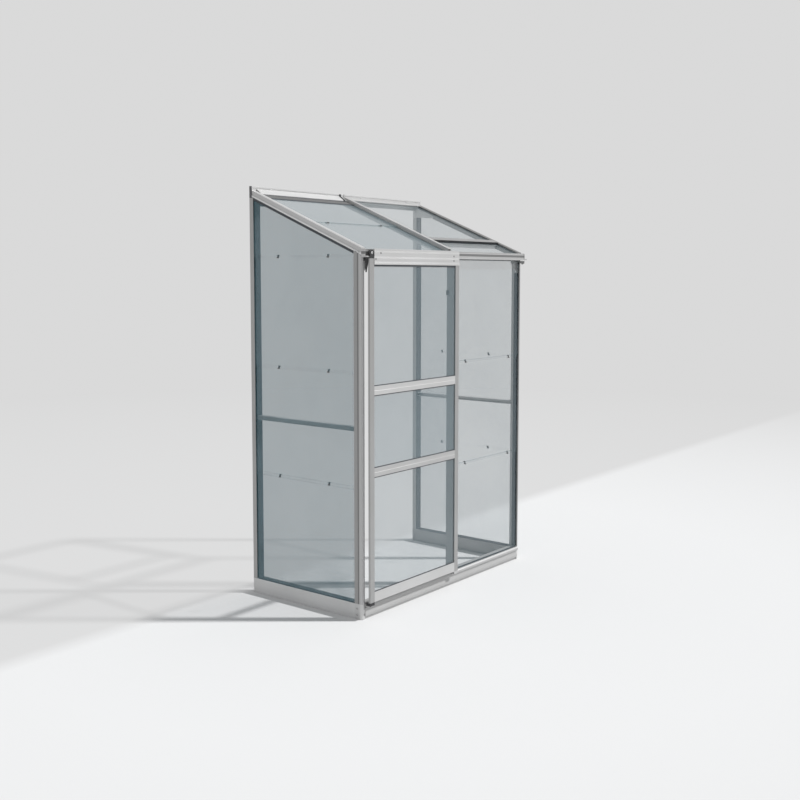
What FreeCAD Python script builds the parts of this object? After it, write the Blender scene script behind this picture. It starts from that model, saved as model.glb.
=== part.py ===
import FreeCAD, Part
import math
import os
import re
import Sketcher

# Lean-to greenhouse: aluminium frame on a U-shaped plinth, glass gables, a sliding door and a roof vent.
# Frame: +X along the wall, +Y towards the wall, +Z up. Origin at the middle of the footprint, on the ground.
# The outlines below measure X from the left outer face, Y from the front plane of the frame.

V = FreeCAD.Vector

SIZES = [
    # whole object
    ("width", 1320.0),
    ("depth", 690.0),
    ("door_front", 38.0),
    ("eave_height", 1656.0),
    ("roof_pitch", 22.5),
    # extruded members
    ("wall", 2.0),
    ("member_depth", 46.0),
    ("groove_width", 10.0),
    ("groove_depth", 10.0),
    ("corner_width", 20.0),
    ("corner_depth", 44.0),
    ("corner_radius", 14.0),
    ("wall_post_width", 24.0),
    ("mullion_left", 702.0),
    ("mullion_width", 28.0),
    ("post_channel", 1.0),
    ("post_channel_start", 16.0),
    ("post_channel_end", 27.0),
    # plinth
    ("sill_height", 70.0),
    ("nose_radius", 10.0),
    ("nose_foot", 54.0),
    ("cove_foot", 38.0),
    ("cove_radius", 14.0),
    ("lip_top", 24.0),
    ("lip_bottom", 13.0),
    ("lip_reach", 3.0),
    ("toe_inset", 4.0),
    ("foot_width", 8.0),
    # roof
    ("eave_step", 12.0),
    ("rafter_height", 26.0),
    ("cap_rise", 11.0),
    ("rafter_cap", 32.0),
    ("roof_bar_half", 12.0),
    ("roof_bar_height", 34.0),
    ("ledge_width", 12.0),
    ("ledge_drop", 10.0),
    ("ledge_thickness", 2.0),
    ("ridge_rise", 16.0),
    ("ridge_thickness", 16.0),
    ("ridge_leg", 30.0),
    ("ridge_line", 9.5),
    ("ridge_gap", 3.0),
    # gutter and door track
    ("gutter_reach", 18.0),
    ("gutter_bottom_drop", 38.0),
    ("gutter_lip_drop", 3.0),
    ("gutter_lip", 4.0),
    ("eave_flange", 22.0),
    ("eave_leg_drop", 44.0),
    ("track_reach", 33.0),
    ("track_rib_center", 30.0),
    ("track_rib", 2.0),
    ("track_rib_height", 3.0),
    ("cap_thickness", 2.0),
    # glass
    ("glass", 3.0),
    ("lap", 14.0),
    ("lap_gap", 1.0),
    ("glass_edge", 1.7),
    ("glass_foot", 0.3),
    ("gable_lap_height", 587.0),
    ("front_lap_height", 592.0),
    ("panes_above_lap", 2.05),
    ("roof_lap_distance", 332.0),
    ("roof_overhang", 6.0),
    ("seal", 2.0),
    ("seal_width", 18.0),
    ("roof_seal", 0.95),
    ("roof_strip", 12.0),
    ("roof_strip_thickness", 4.0),
    ("roof_strip_air", 0.15),
    ("clip_metal", 0.6),
    ("clip_air", 0.2),
    ("clip_hook", 5.0),
    ("clip_width", 10.0),
    ("gable_clip_inset", 155.0),
    ("front_clip_inset", 110.0),
    ("roof_clip_inset", 131.0),
    # gable rails and gussets
    ("gable_rail_height", 848.0),
    ("gable_rail", 20.0),
    ("gable_rail_depth", 24.0),
    ("gusset", 2.0),
    ("ridge_gusset_leg", 126.0),
    ("ridge_gusset_drop", 38.0),
    ("ridge_gusset_inset", 6.0),
    ("eave_gusset_leg", 60.0),
    ("bolt_radius", 3.0),
    ("bolt_head_radius", 5.5),
    ("bolt_head", 3.5),
    ("fixing_hole_radius", 3.5),
    ("fixing_low", 250.0),
    ("fixing_pitch", 700.0),
    # door
    ("door_left", 16.0),
    ("door_width", 676.0),
    ("door_bottom", 80.0),
    ("door_thickness", 11.0),
    ("stile_width", 29.0),
    ("stile_gap", 44.0),
    ("plate_thickness", 2.0),
    ("plate_height", 70.0),
    ("plate_bottom", 1585.0),
    ("top_rail", 22.0),
    ("door_rail", 40.0),
    ("upper_rail_height", 1012.0),
    ("lower_rail_height", 647.0),
    ("bottom_rail", 46.0),
    ("door_wall", 1.6),
    ("door_groove", 3.6),
    ("door_groove_depth", 8.0),
    ("door_glass_bite", 7.0),
    ("door_seal", 4.0),
    ("glide_drop", 14.0),
    ("nose_clearance", 1.0),
    ("wheel_radius", 15.0),
    ("wheel_groove_radius", 13.0),
    ("wheel_width", 8.0),
    ("wheel_groove", 4.0),
    ("axle_radius", 3.0),
    ("axle_clearance", 0.06),
    ("hanger", 1.6),
    ("hanger_width", 26.0),
    ("running_gap", 0.3),
    ("draught_gap", 0.6),
    ("hanger_foot", 3.0),
    ("hanger_tongue", 30.0),
    ("stop_tail", 62.0),
    ("stop_short_tail", 18.0),
    ("stop_neck", 12.0),
    ("stop_bite", 4.0),
    ("catch_reach", 6.0),
    ("catch_width", 10.0),
    ("catch_length", 24.0),
    ("catch_rise", 430.0),
    # roof vent
    ("hinge_inset", 13.7),
    ("hinge_drop", 4.0),
    ("bead_radius", 3.4),
    ("bead_clearance", 0.4),
    ("hinge_neck", 2.5),
    ("vent_length", 592.0),
    ("vent_side_gap", 1.5),
    ("vent_rail", 24.0),
    ("vent_hinge_rail", 27.0),
    ("vent_bottom_rail", 36.0),
    ("vent_seat", 8.5),
    ("vent_rise", 5.0),
    ("vent_lip_gap", 0.5),
    ("vent_sill_length", 33.0),
    ("vent_sill_cover", 5.0),
    ("vent_sill_height", 20.0),
    ("eave_pane_lap", 20.0),
    ("vent_open", 26.0),
    ("stay_open", 85.0),
    ("stay_width", 14.0),
    ("stay_thickness", 3.0),
    ("stay_pivot_inset", 4.0),
    ("stay_pivot_drop", 20.0),
    ("stay_peg_gap", 7.0),
    ("stay_peg_height", 16.0),
    ("stay_hole_radius", 4.0),
    ("stay_hole_pitch", 55.0),
]

# Places worked out from the sizes. X from the middle, Y from the middle, Z from the ground.
PLACES = [
    ("x_left", "-width / 2"),
    ("x_right", "width / 2"),
    ("y_front", "(door_front - depth) / 2"),
    ("y_wall", "(door_front + depth) / 2"),
    ("groove_end", "wall + groove_width"),
    ("post_top", "eave_height - eave_step"),
    ("gable_lap_pitch", "(post_top - gable_lap_height) / panes_above_lap"),
    ("front_lap_pitch", "(post_top - front_lap_height) / panes_above_lap"),
    ("ridge_face", "y_wall - ridge_thickness"),
    ("ridge_top", "eave_height + depth * tan(roof_pitch) + ridge_rise"),
    ("hinge_y", "y_wall - hinge_inset"),
    ("hinge_z", "eave_height + (depth - hinge_inset) * tan(roof_pitch) - hinge_drop"),
    ("ridge_base", "hinge_z - ridge_leg"),
    ("hinge_distance", "(depth - hinge_inset - hinge_drop * cos(roof_pitch) * sin(roof_pitch)) / cos(roof_pitch)"),
    ("vent_datum", "hinge_drop * cos(roof_pitch)"),
    ("rafter_underside", "rafter_height / cos(roof_pitch)"),
    ("roof_glass_top", "glass - ledge_drop + roof_seal + 0.05"),
    ("roof_end", "(depth - ridge_thickness - 2) / cos(roof_pitch) + roof_glass_top * tan(roof_pitch)"),
    ("gutter_bottom", "eave_height - gutter_bottom_drop"),
    ("gutter_top", "eave_height - gutter_lip_drop"),
    ("eave_leg", "eave_height - eave_leg_drop"),
    ("door_face", "y_front - door_front + plate_thickness"),
    ("door_back", "door_face + door_thickness"),
    ("door_x", "x_left + door_left"),
    ("stile_inner", "door_x + stile_width"),
    ("stile_right", "door_x + door_width - stile_width"),
    ("stile_top", "gutter_bottom - 6"),
    ("door_glass_y", "door_face + (door_thickness - glass) / 2"),
    ("wheel_z", "gutter_bottom + wall + track_rib_height + wheel_groove_radius + running_gap"),
    ("wheel_y", "y_front - track_rib_center"),
    ("vent_bottom_distance", "hinge_distance - vent_length"),
    ("vent_low", "vent_datum - vent_seat"),
    ("vent_high", "vent_datum + vent_rise"),
    ("vent_lip", "vent_datum + roof_glass_top + vent_lip_gap"),
    ("vent_left", "roof_bar_half + vent_side_gap"),
    ("vent_right", "x_right - rafter_cap - vent_side_gap"),
    ("bay_right", "x_right - member_depth"),
    ("pivot_s", "vent_length - vent_bottom_rail - stay_pivot_inset"),
    ("pivot_h", "vent_lip - stay_pivot_drop"),
    ("peg_s", "vent_length + vent_sill_cover - vent_sill_length - stay_peg_gap"),
    ("peg_h", "-stay_peg_height"),
    ("reach_s", "peg_s * cos(vent_open) + peg_h * sin(vent_open) - pivot_s"),
    ("reach_h", "peg_h * cos(vent_open) - peg_s * sin(vent_open) - pivot_h"),
    ("stay_tilt", "atan(reach_s / reach_h) / 1deg"),
    ("stay_reach", "sqrt(reach_s * reach_s + reach_h * reach_h)"),
    ("stay_length", "stay_reach / sin(stay_open)"),
    ("stay_x", "(roof_bar_half + ledge_width + bay_right) / 2 + 10"),
]

doc = FreeCAD.newDocument("Greenhouse")
sheet = doc.addObject("Spreadsheet::Sheet", "Sizes")
for row, (alias, value) in enumerate(SIZES, 1):
    sheet.set(f"A{row}", str(value))
    sheet.setAlias(f"A{row}", alias)
for row, (alias, rule) in enumerate(PLACES, 1):
    sheet.set(f"B{row}", f"={rule}")
    sheet.setAlias(f"B{row}", alias)
doc.recompute()

ALIASES = {alias for alias, content in SIZES + PLACES}
NAME = re.compile(r"[a-z_]+")


def formula(text):
    """Writes a place or size as an expression of the sheet's cells."""
    return NAME.sub(lambda match: f"Sizes.{match[0]}" if match[0] in ALIASES else match[0], text)


def number(text):
    """Value of a formula, for the first guess of a sketch and for plain shapes."""
    result = sheet.evalExpression(formula(text))
    return float(getattr(result, "Value", result))


# Sketches: an outline is a list of corners, each with the radius of the arc that follows it, if any.

def arc_geometry(start, end, radius, turn):
    chord = end - start
    half = chord.Length / 2
    rise = math.sqrt(max(radius * radius - half * half, 0.0))
    side = V(-chord.y, chord.x, 0).normalize()
    big = "big" in turn
    inward = 1 if ("left" in turn) != big else -1
    center = (start + end) * 0.5 + side * rise * inward
    first = math.atan2(start.y - center.y, start.x - center.x)
    last = math.atan2(end.y - center.y, end.x - center.x)
    if "left" not in turn:
        first, last = last, first
    if last <= first:
        last += 2 * math.pi
    return Part.ArcOfCircle(Part.Circle(center, V(0, 0, 1), radius), first, last)


def draw(sketch, corners, prefix):
    """Closed outline whose corners and radii are bound to the sheet. Arcs turn left or right."""
    points = [V(number(corner[0]), number(corner[1]), 0) for corner in corners]
    ends = []
    for index, corner in enumerate(corners):
        start = points[index]
        end = points[(index + 1) % len(points)]
        if len(corner) == 2:
            edge = sketch.addGeometry(Part.LineSegment(start, end), False)
            ends.append((edge, 1, 2))
        else:
            edge = sketch.addGeometry(arc_geometry(start, end, number(corner[2]), corner[3]), False)
            ends.append((edge, 1, 2) if "left" in corner[3] else (edge, 2, 1))
    for index, (edge, first, last) in enumerate(ends):
        following = ends[(index + 1) % len(ends)]
        sketch.addConstraint(Sketcher.Constraint("Coincident", edge, last, following[0], following[1]))
    for index, (edge, first, last) in enumerate(ends):
        for axis, value, text in (("X", points[index].x, corners[index][0]),
                                  ("Y", points[index].y, corners[index][1])):
            name = f"{prefix}{axis.lower()}{index}"
            rule = Sketcher.Constraint(f"Distance{axis}", -1, 1, edge, first, value)
            sketch.renameConstraint(sketch.addConstraint(rule), name)
            sketch.setExpression(f"Constraints.{name}", formula(text))
        if len(corners[index]) > 2:
            name = f"{prefix}r{index}"
            rule = Sketcher.Constraint("Radius", edge, number(corners[index][2]))
            sketch.renameConstraint(sketch.addConstraint(rule), name)
            sketch.setExpression(f"Constraints.{name}", formula(corners[index][2]))


def place(item, base, turn=None):
    """Binds an object's position, and its turn about the X, Y or Z axis, to the sheet."""
    if turn:
        axis = {"X": V(1, 0, 0), "Y": V(0, 1, 0), "Z": V(0, 0, 1)}[turn[0]]
        item.Placement = FreeCAD.Placement(V(), FreeCAD.Rotation(axis, 10))
        item.setExpression("Placement.Rotation.Angle", formula(turn[1]))
    for axis, text in zip("xyz", base):
        item.setExpression(f"Placement.Base.{axis}", formula(text))


def extrusion(label, plane, loops, length, base=("0", "0", "0"), turn=None):
    """Body made by pushing a section along +X (plane YZ), +Y (plane XZ) or +Z (plane XY)."""
    body = doc.addObject("PartDesign::Body", label)
    body.Label = label
    support = [item for item in body.Origin.OriginFeatures if item.Role == f"{plane}_Plane"][0]
    sketch = body.newObject("Sketcher::SketchObject", f"{label}_section")
    sketch.AttachmentSupport = (support, [""])
    sketch.MapMode = "FlatFace"
    for index, loop in enumerate(loops):
        draw(sketch, loop, "abcdefgh"[index])
    pad = body.newObject("PartDesign::Pad", f"{label}_pad")
    pad.Profile = sketch
    pad.Type = "Length"
    pad.Reversed = plane == "XZ"
    pad.setExpression("Length", formula(length))
    place(body, base, turn)
    return body


def rectangle(x0, y0, x1, y1):
    return [(x0, y0), (x1, y0), (x1, y1), (x0, y1)]


def block(name, base, size, turn=None):
    item = doc.addObject("Part::Box", name)
    for prop, text in zip(("Length", "Width", "Height"), size):
        item.setExpression(prop, formula(text))
    place(item, base, turn)
    return item


def rod(name, radius, length, base, axis, rise="0"):
    """Cylinder along +X, or along +Y and rising at an angle."""
    item = doc.addObject("Part::Cylinder", name)
    item.setExpression("Radius", formula(radius))
    item.setExpression("Height", formula(length))
    place(item, base, ("Y", "90") if axis == "X" else ("X", f"({rise}) - 90"))
    return item


def cut(label, base, tools):
    item = doc.addObject("Part::Cut", label)
    item.Label = label
    item.Base = base
    item.Tool = tools[0] if len(tools) == 1 else fuse(f"{label}_tools", tools)
    return item


def fuse(label, pieces):
    item = doc.addObject("Part::MultiFuse", label)
    item.Label = label
    item.Shapes = pieces
    return item


def common(label, base, tool):
    item = doc.addObject("Part::Common", label)
    item.Label = label
    item.Base = base
    item.Tool = tool
    return item


def group(label, pieces):
    item = doc.addObject("Part::Compound", label)
    item.Label = label
    item.Links = pieces
    return item


def mirrored(label, source):
    """The same piece on the other side of the middle plane."""
    item = doc.addObject("Part::Mirroring", label)
    item.Label = label
    item.Source = source
    item.Normal = V(1, 0, 0)
    return item


nodes = []


def keep(*pieces):
    nodes.extend(pieces)
    return pieces[0]


ROOF = ("0", "y_front", "eave_height")
ROOF_TURN = ("X", "roof_pitch")
HINGE = ("0", "hinge_y", "hinge_z")


# Plinth: three open extrusions and two corner blocks

def gable_sill():
    outline = [
        ("0", "0"), ("foot_width", "0"), ("foot_width", "wall"), ("wall", "wall"),
        ("wall", "sill_height - groove_depth - wall"),
        ("groove_end + wall", "sill_height - groove_depth - wall"),
        ("groove_end + wall", "sill_height - wall"), ("member_depth - wall", "sill_height - wall"),
        ("member_depth - wall", "wall"), ("member_depth - foot_width", "wall"),
        ("member_depth - foot_width", "0"), ("member_depth", "0"), ("member_depth", "sill_height"),
        ("groove_end", "sill_height"), ("groove_end", "sill_height - groove_depth"),
        ("wall", "sill_height - groove_depth"), ("wall", "sill_height"), ("0", "sill_height"),
        ("0", "lip_bottom"), ("wall / 2", "lip_bottom - 1.5"), ("0", "lip_bottom - 3"),
    ]
    return extrusion("sill_left", "XZ", [outline], "depth - corner_depth",
                     ("x_left", "y_front + corner_depth", "0"))


def front_sill():
    outline = [
        ("toe_inset", "0"), ("toe_inset + foot_width", "0"), ("toe_inset + foot_width", "wall"),
        ("toe_inset + wall", "wall"), ("toe_inset + wall", "sill_height - groove_depth - wall"),
        ("groove_end + wall", "sill_height - groove_depth - wall"),
        ("groove_end + wall", "sill_height - wall"), ("corner_depth - wall", "sill_height - wall"),
        ("corner_depth - wall", "wall"), ("corner_depth - foot_width", "wall"),
        ("corner_depth - foot_width", "0"), ("corner_depth", "0"), ("corner_depth", "sill_height"),
        ("groove_end", "sill_height"), ("groove_end", "sill_height - groove_depth"),
        ("wall", "sill_height - groove_depth"), ("wall", "sill_height"),
        ("0", "sill_height", "nose_radius", "left"), ("-nose_radius", "sill_height - nose_radius"),
        ("-nose_radius", "nose_foot", "cove_radius", "right"), ("0", "cove_foot"),
        ("-lip_reach", "lip_top"), ("-lip_reach", "lip_bottom"), ("toe_inset", "lip_bottom - 4"),
    ]
    hollow = rectangle("wall - nose_radius", "nose_foot + 1", "wall", "sill_height - groove_depth - wall")
    return extrusion("sill_front", "YZ", [outline, hollow], "width - 2 * corner_width",
                     ("x_left + corner_width", "y_front", "0"))


def corner_block():
    outline = [
        ("corner_radius", "0"), ("corner_width", "0"), ("corner_width", "corner_depth"),
        ("0", "corner_depth"), ("0", "corner_radius", "corner_radius", "left"),
    ]
    blank = extrusion("corner_block_blank", "XY", [outline], "sill_height", ("x_left", "y_front", "0"))
    seats = []
    for index, height in enumerate(("sill_height * 0.3", "sill_height * 0.7")):
        seats.append(rod(f"side_seat_{index}", "bolt_head_radius", "bolt_head",
                         ("x_left", "y_front + corner_depth / 2 + 6", height), "X"))
        seats.append(rod(f"front_seat_{index}", "bolt_head_radius - 1", "bolt_head",
                         ("x_left + corner_width - 5", "y_front", height), "Y"))
    grooves = [
        block("side_groove", ("x_left + wall", "y_front + corner_depth - groove_depth",
                              "sill_height - groove_depth"), ("groove_width", "groove_depth", "groove_depth")),
        block("front_groove", ("x_left + corner_width - groove_depth", "y_front + wall",
                               "sill_height - groove_depth"), ("groove_depth", "groove_width", "groove_depth")),
    ]
    return cut("base_corner_left", blank, seats + grooves)


def corner_bolts():
    pieces = []
    for index, height in enumerate(("sill_height * 0.3", "sill_height * 0.7")):
        pieces.append(rod(f"side_bolt_{index}", "bolt_head_radius - 0.5", "bolt_head - 0.6",
                          ("x_left + 0.6", "y_front + corner_depth / 2 + 6", height), "X"))
        pieces.append(rod(f"front_bolt_{index}", "bolt_head_radius - 1.5", "bolt_head - 0.6",
                          ("x_left + corner_width - 5", "y_front + 0.6", height), "Y"))
    return group("corner_bolts_left", pieces)


sill_left = keep(gable_sill())
keep(mirrored("sill_right", sill_left), front_sill())
base_corner_left = keep(corner_block())
keep(mirrored("base_corner_right", base_corner_left))
corner_bolts_left = corner_bolts()


# Posts: hollow extrusions with a glazing groove on each side that holds glass

def corner_post():
    outline = [
        ("corner_radius", "0"), ("corner_width", "0"), ("corner_width", "wall"),
        ("corner_width - groove_depth", "wall"), ("corner_width - groove_depth", "groove_end"),
        ("corner_width", "groove_end"), ("corner_width", "corner_depth"),
        ("groove_end", "corner_depth"), ("groove_end", "corner_depth - groove_depth"),
        ("wall", "corner_depth - groove_depth"), ("wall", "corner_depth"), ("0", "corner_depth"),
        ("0", "post_channel_end"), ("post_channel", "post_channel_end - post_channel"),
        ("post_channel", "post_channel_start + post_channel"), ("0", "post_channel_start"),
        ("0", "corner_radius", "corner_radius", "left"),
    ]
    hollow = rectangle("wall", "groove_end + wall", "corner_width - wall", "corner_depth - groove_depth - wall")
    return extrusion("corner_post_left", "XY", [outline, hollow], "post_top - sill_height",
                     ("x_left", "y_front", "sill_height"))


def wall_post():
    inner = "-wall_post_width"
    outline = [
        ("0", inner), ("wall", inner), ("wall", "groove_depth - wall_post_width"),
        ("groove_end", "groove_depth - wall_post_width"), ("groove_end", inner),
        ("member_depth", inner), ("member_depth", "0"), ("0", "0"),
    ]
    hollow = rectangle("groove_end + wall", "wall - wall_post_width", "member_depth - wall", "-wall")
    chamber = rectangle("wall", "groove_depth + wall - wall_post_width", "groove_end", "-wall")
    blank = extrusion("wall_post_blank", "XY", [outline, hollow, chamber], "ridge_base - sill_height",
                      ("x_left", "y_wall", "sill_height"))
    holes = []
    for index in range(3):
        holes.append(rod(f"fixing_{index}", "fixing_hole_radius", "wall_post_width + 2",
                         ("x_left + (groove_end + member_depth) / 2", "y_wall - wall_post_width - 1",
                          f"fixing_low + {index} * fixing_pitch"), "Y"))
    return cut("wall_post_left", blank, holes)


def mullion():
    outline = [
        ("0", "0"), ("mullion_width", "0"), ("mullion_width", "wall"),
        ("mullion_width - groove_depth", "wall"), ("mullion_width - groove_depth", "groove_end"),
        ("mullion_width", "groove_end"), ("mullion_width", "corner_depth"), ("0", "corner_depth"),
        ("0", "groove_end + 3"), ("1", "groove_end + 2"), ("0", "groove_end + 1"),
    ]
    hollow = rectangle("wall", "groove_end + wall + 2", "mullion_width - wall", "corner_depth - wall")
    chamber = rectangle("wall", "wall", "mullion_width - groove_depth - wall", "groove_end - wall")
    return extrusion("door_mullion", "XY", [outline, hollow, chamber], "eave_leg - sill_height",
                     ("x_left + mullion_left", "y_front", "sill_height"))


corner_post_left = keep(corner_post())
wall_post_left = keep(wall_post())
keep(mirrored("corner_post_right", corner_post_left), mirrored("wall_post_right", wall_post_left), mullion())


# Gable rails between corner post and wall post

def gable_rail():
    top = "gable_rail"
    outline = [
        ("0", "0"), ("gable_rail_depth", "0"), ("gable_rail_depth", "wall"), ("wall", "wall"),
        ("wall", f"{top} - wall"), ("gable_rail_depth", f"{top} - wall"), ("gable_rail_depth", top),
        ("0", top),
    ]
    return extrusion("gable_rail_left", "XZ", [outline],
                     "depth - corner_depth - wall_post_width - 2 * seal",
                     ("x_left + groove_end + 0.3", "y_front + corner_depth + seal", "gable_rail_height"))


gable_rail_left = keep(gable_rail())
keep(mirrored("gable_rail_right", gable_rail_left))


# Roof members, drawn square to the slope and trimmed plumb at the eave and the ridge

trim = block("roof_trim", ("x_left - 10", "y_front", "post_top"),
             ("width + 20", "depth - ridge_thickness", "ridge_top"))


def rafter():
    low = "-rafter_height"
    outline = [
        ("0", low), ("wall", low), ("wall", "groove_depth - rafter_height"),
        ("groove_end", "groove_depth - rafter_height"), ("groove_end", low), ("member_depth", low),
        ("member_depth", "-ledge_drop"), ("rafter_cap", "-ledge_drop"), ("rafter_cap", "cap_rise"),
        ("0", "cap_rise"),
        ("0", "5 - rafter_height"), ("1", "4.3 - rafter_height"), ("0", "3.6 - rafter_height"),
    ]
    hollow = rectangle("groove_end + wall", "wall - rafter_height", "member_depth - wall", "-ledge_drop - wall")
    chamber = rectangle("wall", "wall - ledge_drop", "rafter_cap - wall", "cap_rise - wall")
    bar = extrusion("rafter_blank", "XZ", [outline, hollow, chamber], "depth / cos(roof_pitch) + 60",
                    ("x_left", "y_front - 20 * cos(roof_pitch)", "eave_height - 20 * sin(roof_pitch)"),
                    ROOF_TURN)
    return common("rafter_left", bar, trim)


def roof_bar():
    half = "roof_bar_half"
    stem = "roof_bar_half - 5"
    tip = "roof_bar_half + ledge_width"
    ledge = "-ledge_drop"
    under = "-ledge_drop - ledge_thickness"
    low = "-roof_bar_height"
    ribs = []
    for rib in (1, 0, -1):
        middle = f"{rib} * roof_bar_half / 2"
        ribs += [(f"{middle} + 1", "cap_rise"), (middle, "cap_rise - 1"), (f"{middle} - 1", "cap_rise")]
    flank = []
    for rise in ("-cap_rise * 0.1", "cap_rise * 0.3", "cap_rise * 0.7"):
        flank += [(half, f"{rise} - 1"), (f"{half} - 1", rise), (half, f"{rise} + 1")]
    outline = [(f"-({stem})", low), (stem, low), (stem, under), (tip, under), (tip, ledge), (half, ledge)]
    outline += flank + [(half, "cap_rise")] + ribs + [(f"-{half}", "cap_rise")]
    outline += [(f"-({x})", z) for x, z in reversed(flank)]
    outline += [(f"-{half}", ledge), (f"-({tip})", ledge), (f"-({tip})", under), (f"-({stem})", under)]
    upper = rectangle("wall - roof_bar_half", "-ledge_drop", "roof_bar_half - wall", "cap_rise - wall - 1")
    lower = rectangle("wall + 5 - roof_bar_half", "wall - roof_bar_height", "roof_bar_half - 5 - wall",
                      "-ledge_drop - ledge_thickness - wall")
    bar = extrusion("roof_bar_blank", "XZ", [outline, upper, lower], "depth / cos(roof_pitch) + 60",
                    ("0", "y_front - 20 * cos(roof_pitch)", "eave_height - 20 * sin(roof_pitch)"),
                    ROOF_TURN)
    return common("roof_bar", bar, trim)


def ridge_bar():
    """Wall plate with a hooked slot along its front, where the vent's bead turns."""
    slot = "bead_radius + bead_clearance"
    front = "-ridge_thickness"
    mouth = f"sqrt(({slot}) ^ 2 - (ridge_thickness - hinge_inset) ^ 2)"
    outline = [
        ("0", "ridge_base"), ("0", "ridge_top"), (front, "ridge_top"),
        (front, "ridge_top - ridge_line + 1.5"), (f"{front} + 1.2", "ridge_top - ridge_line"),
        (front, "ridge_top - ridge_line - 1.5"),
        (front, f"hinge_z + {mouth}", slot, "right big"),
        (front, f"hinge_z - {mouth}"), (front, "ridge_base"),
    ]
    lower = rectangle("wall - ridge_thickness", "ridge_base + wall", "-wall",
                      f"hinge_z - ({slot}) - wall")
    upper = rectangle("wall - ridge_thickness", f"hinge_z + ({slot}) + wall", "-wall", "ridge_top - wall")
    return extrusion("ridge_bar_left", "YZ", [outline, lower, upper], "(width - ridge_gap) / 2",
                     ("x_left", "y_wall", "0"))


def ridge_joiner():
    """Plastic piece that closes the joint of the two ridge bars and plugs into both."""
    slot = "(bead_radius + bead_clearance)"
    collar = block("joiner_collar", ("-ridge_gap / 2", "ridge_face", "ridge_base"),
                   ("ridge_gap", "ridge_thickness", "ridge_top - ridge_base"))
    plug_top = f"hinge_z - {slot} - wall - 0.3"
    lower = block("joiner_plug_low", ("-30", "ridge_face + wall + 0.3", "ridge_base + wall + 0.3"),
                  ("60", "ridge_thickness - 2 * wall - 0.6", f"{plug_top} - (ridge_base + wall + 0.3)"))
    return fuse("ridge_joiner", [collar, lower])


rafter_left = keep(rafter())
keep(mirrored("rafter_right", rafter_left), roof_bar())
ridge_bar_left = keep(ridge_bar())
keep(mirrored("ridge_bar_right", ridge_bar_left), ridge_joiner())


# Eave: gutter, glazing groove and door track in one extrusion, with end caps

def gutter():
    bottom = "gutter_bottom"
    front = "-gutter_reach"
    rib_out = "-track_rib_center - track_rib / 2"
    rib_in = "track_rib / 2 - track_rib_center"
    outline = [
        ("-track_reach", bottom), ("0", bottom), ("0", f"{bottom} - wall"), ("wall", f"{bottom} - wall"),
        ("wall", "post_top - wall"), ("groove_end", "post_top - wall"), ("groove_end", "eave_leg"),
        ("groove_end + wall", "eave_leg"), ("groove_end + wall", "post_top - wall"),
        ("eave_flange - wall", "post_top - wall"), ("eave_flange - wall", "post_top - 10"),
        ("eave_flange", "post_top - 10"), ("eave_flange", "post_top"), ("0", "post_top"),
        ("0", f"{bottom} + 2 * wall"), (f"{front} + wall", f"{bottom} + 2 * wall"),
        (f"{front} + wall", "gutter_top"), (f"{front} - wall", "gutter_top"),
        (f"{front} - wall", "gutter_top - wall"), (front, "gutter_top - gutter_lip"),
        (front, f"{bottom} + wall"), (rib_in, f"{bottom} + wall"),
        (rib_in, f"{bottom} + wall + track_rib_height"), (rib_out, f"{bottom} + wall + track_rib_height"),
        (rib_out, f"{bottom} + wall"), ("-track_reach", f"{bottom} + wall"),
    ]
    length = "width - 2 * cap_thickness"
    profile = extrusion("gutter_blank", "YZ", [outline], length, ("x_left + cap_thickness", "y_front", "0"))
    notches = []
    for side, x in (("left", "x_left"), ("right", "x_right - corner_width")):
        notches.append(block(f"gutter_notch_{side}", (x, "y_front", "eave_leg - 10"),
                             ("corner_width", "eave_flange + 10", "eave_leg_drop")))
    return cut("gutter", profile, notches)


def gutter_cap():
    bottom = "gutter_bottom"
    outline = [
        ("-track_reach", bottom), ("-0.2", bottom), ("-0.2", "gutter_top"),
        ("-gutter_reach - wall", "gutter_top"), ("-gutter_reach - wall", f"{bottom} + 3 * wall"),
        ("-track_reach", f"{bottom} + 3 * wall"),
    ]
    return extrusion("gutter_cap_left", "YZ", [outline], "cap_thickness", ("x_left", "y_front", "0"))


cap_left = gutter_cap()
keep(gutter(), group("gutter_caps", [cap_left, mirrored("gutter_cap_right", cap_left)]))


# Vent sill: the cross member under the vent's lower edge

def vent_sill():
    """Channel with the stub where the stay ends when the vent is open."""
    low = "-ledge_drop - vent_sill_height"
    top = "-ledge_drop"
    near = "vent_bottom_distance - vent_sill_cover"
    far = "vent_bottom_distance - vent_sill_cover + vent_sill_length"
    outline = [
        (near, low), (f"{near} + wall", low), (f"{near} + wall", f"{top} - wall"),
        (f"{far} - wall", f"{top} - wall"), (f"{far} - wall", low), (far, low), (far, top), (near, top),
    ]
    bar = extrusion("vent_sill_bar", "YZ", [outline], "bay_right - roof_bar_half - ledge_width",
                    ("roof_bar_half + ledge_width", "y_front", "eave_height"), ROOF_TURN)
    root = "(peg_s + stay_peg_gap + 0.5)"
    peg = rod("stay_peg", "stay_hole_radius - 1", "stay_peg_gap - stay_thickness / 2",
              ("stay_x - stay_length * cos(stay_open)",
               f"hinge_y - {root} * cos(roof_pitch) - peg_h * sin(roof_pitch)",
               f"hinge_z - {root} * sin(roof_pitch) + peg_h * cos(roof_pitch)"), "Y", "roof_pitch")
    return fuse("vent_sill", [bar, peg])


keep(vent_sill())


# Glass: panes lie in the grooves, each tilted so that its foot laps over the pane below

GABLE_TILT = "asin((glass + lap_gap) / gable_lap_pitch) / 1deg"
FRONT_TILT = "asin((glass + lap_gap) / front_lap_pitch) / 1deg"
PANE_FOOT = "wall + 1"


def gable_pane(label, corners, foot):
    return extrusion(label, "YZ", [corners], "glass",
                     (f"x_left + {PANE_FOOT}", "y_front", foot), ("Y", GABLE_TILT))


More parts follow.
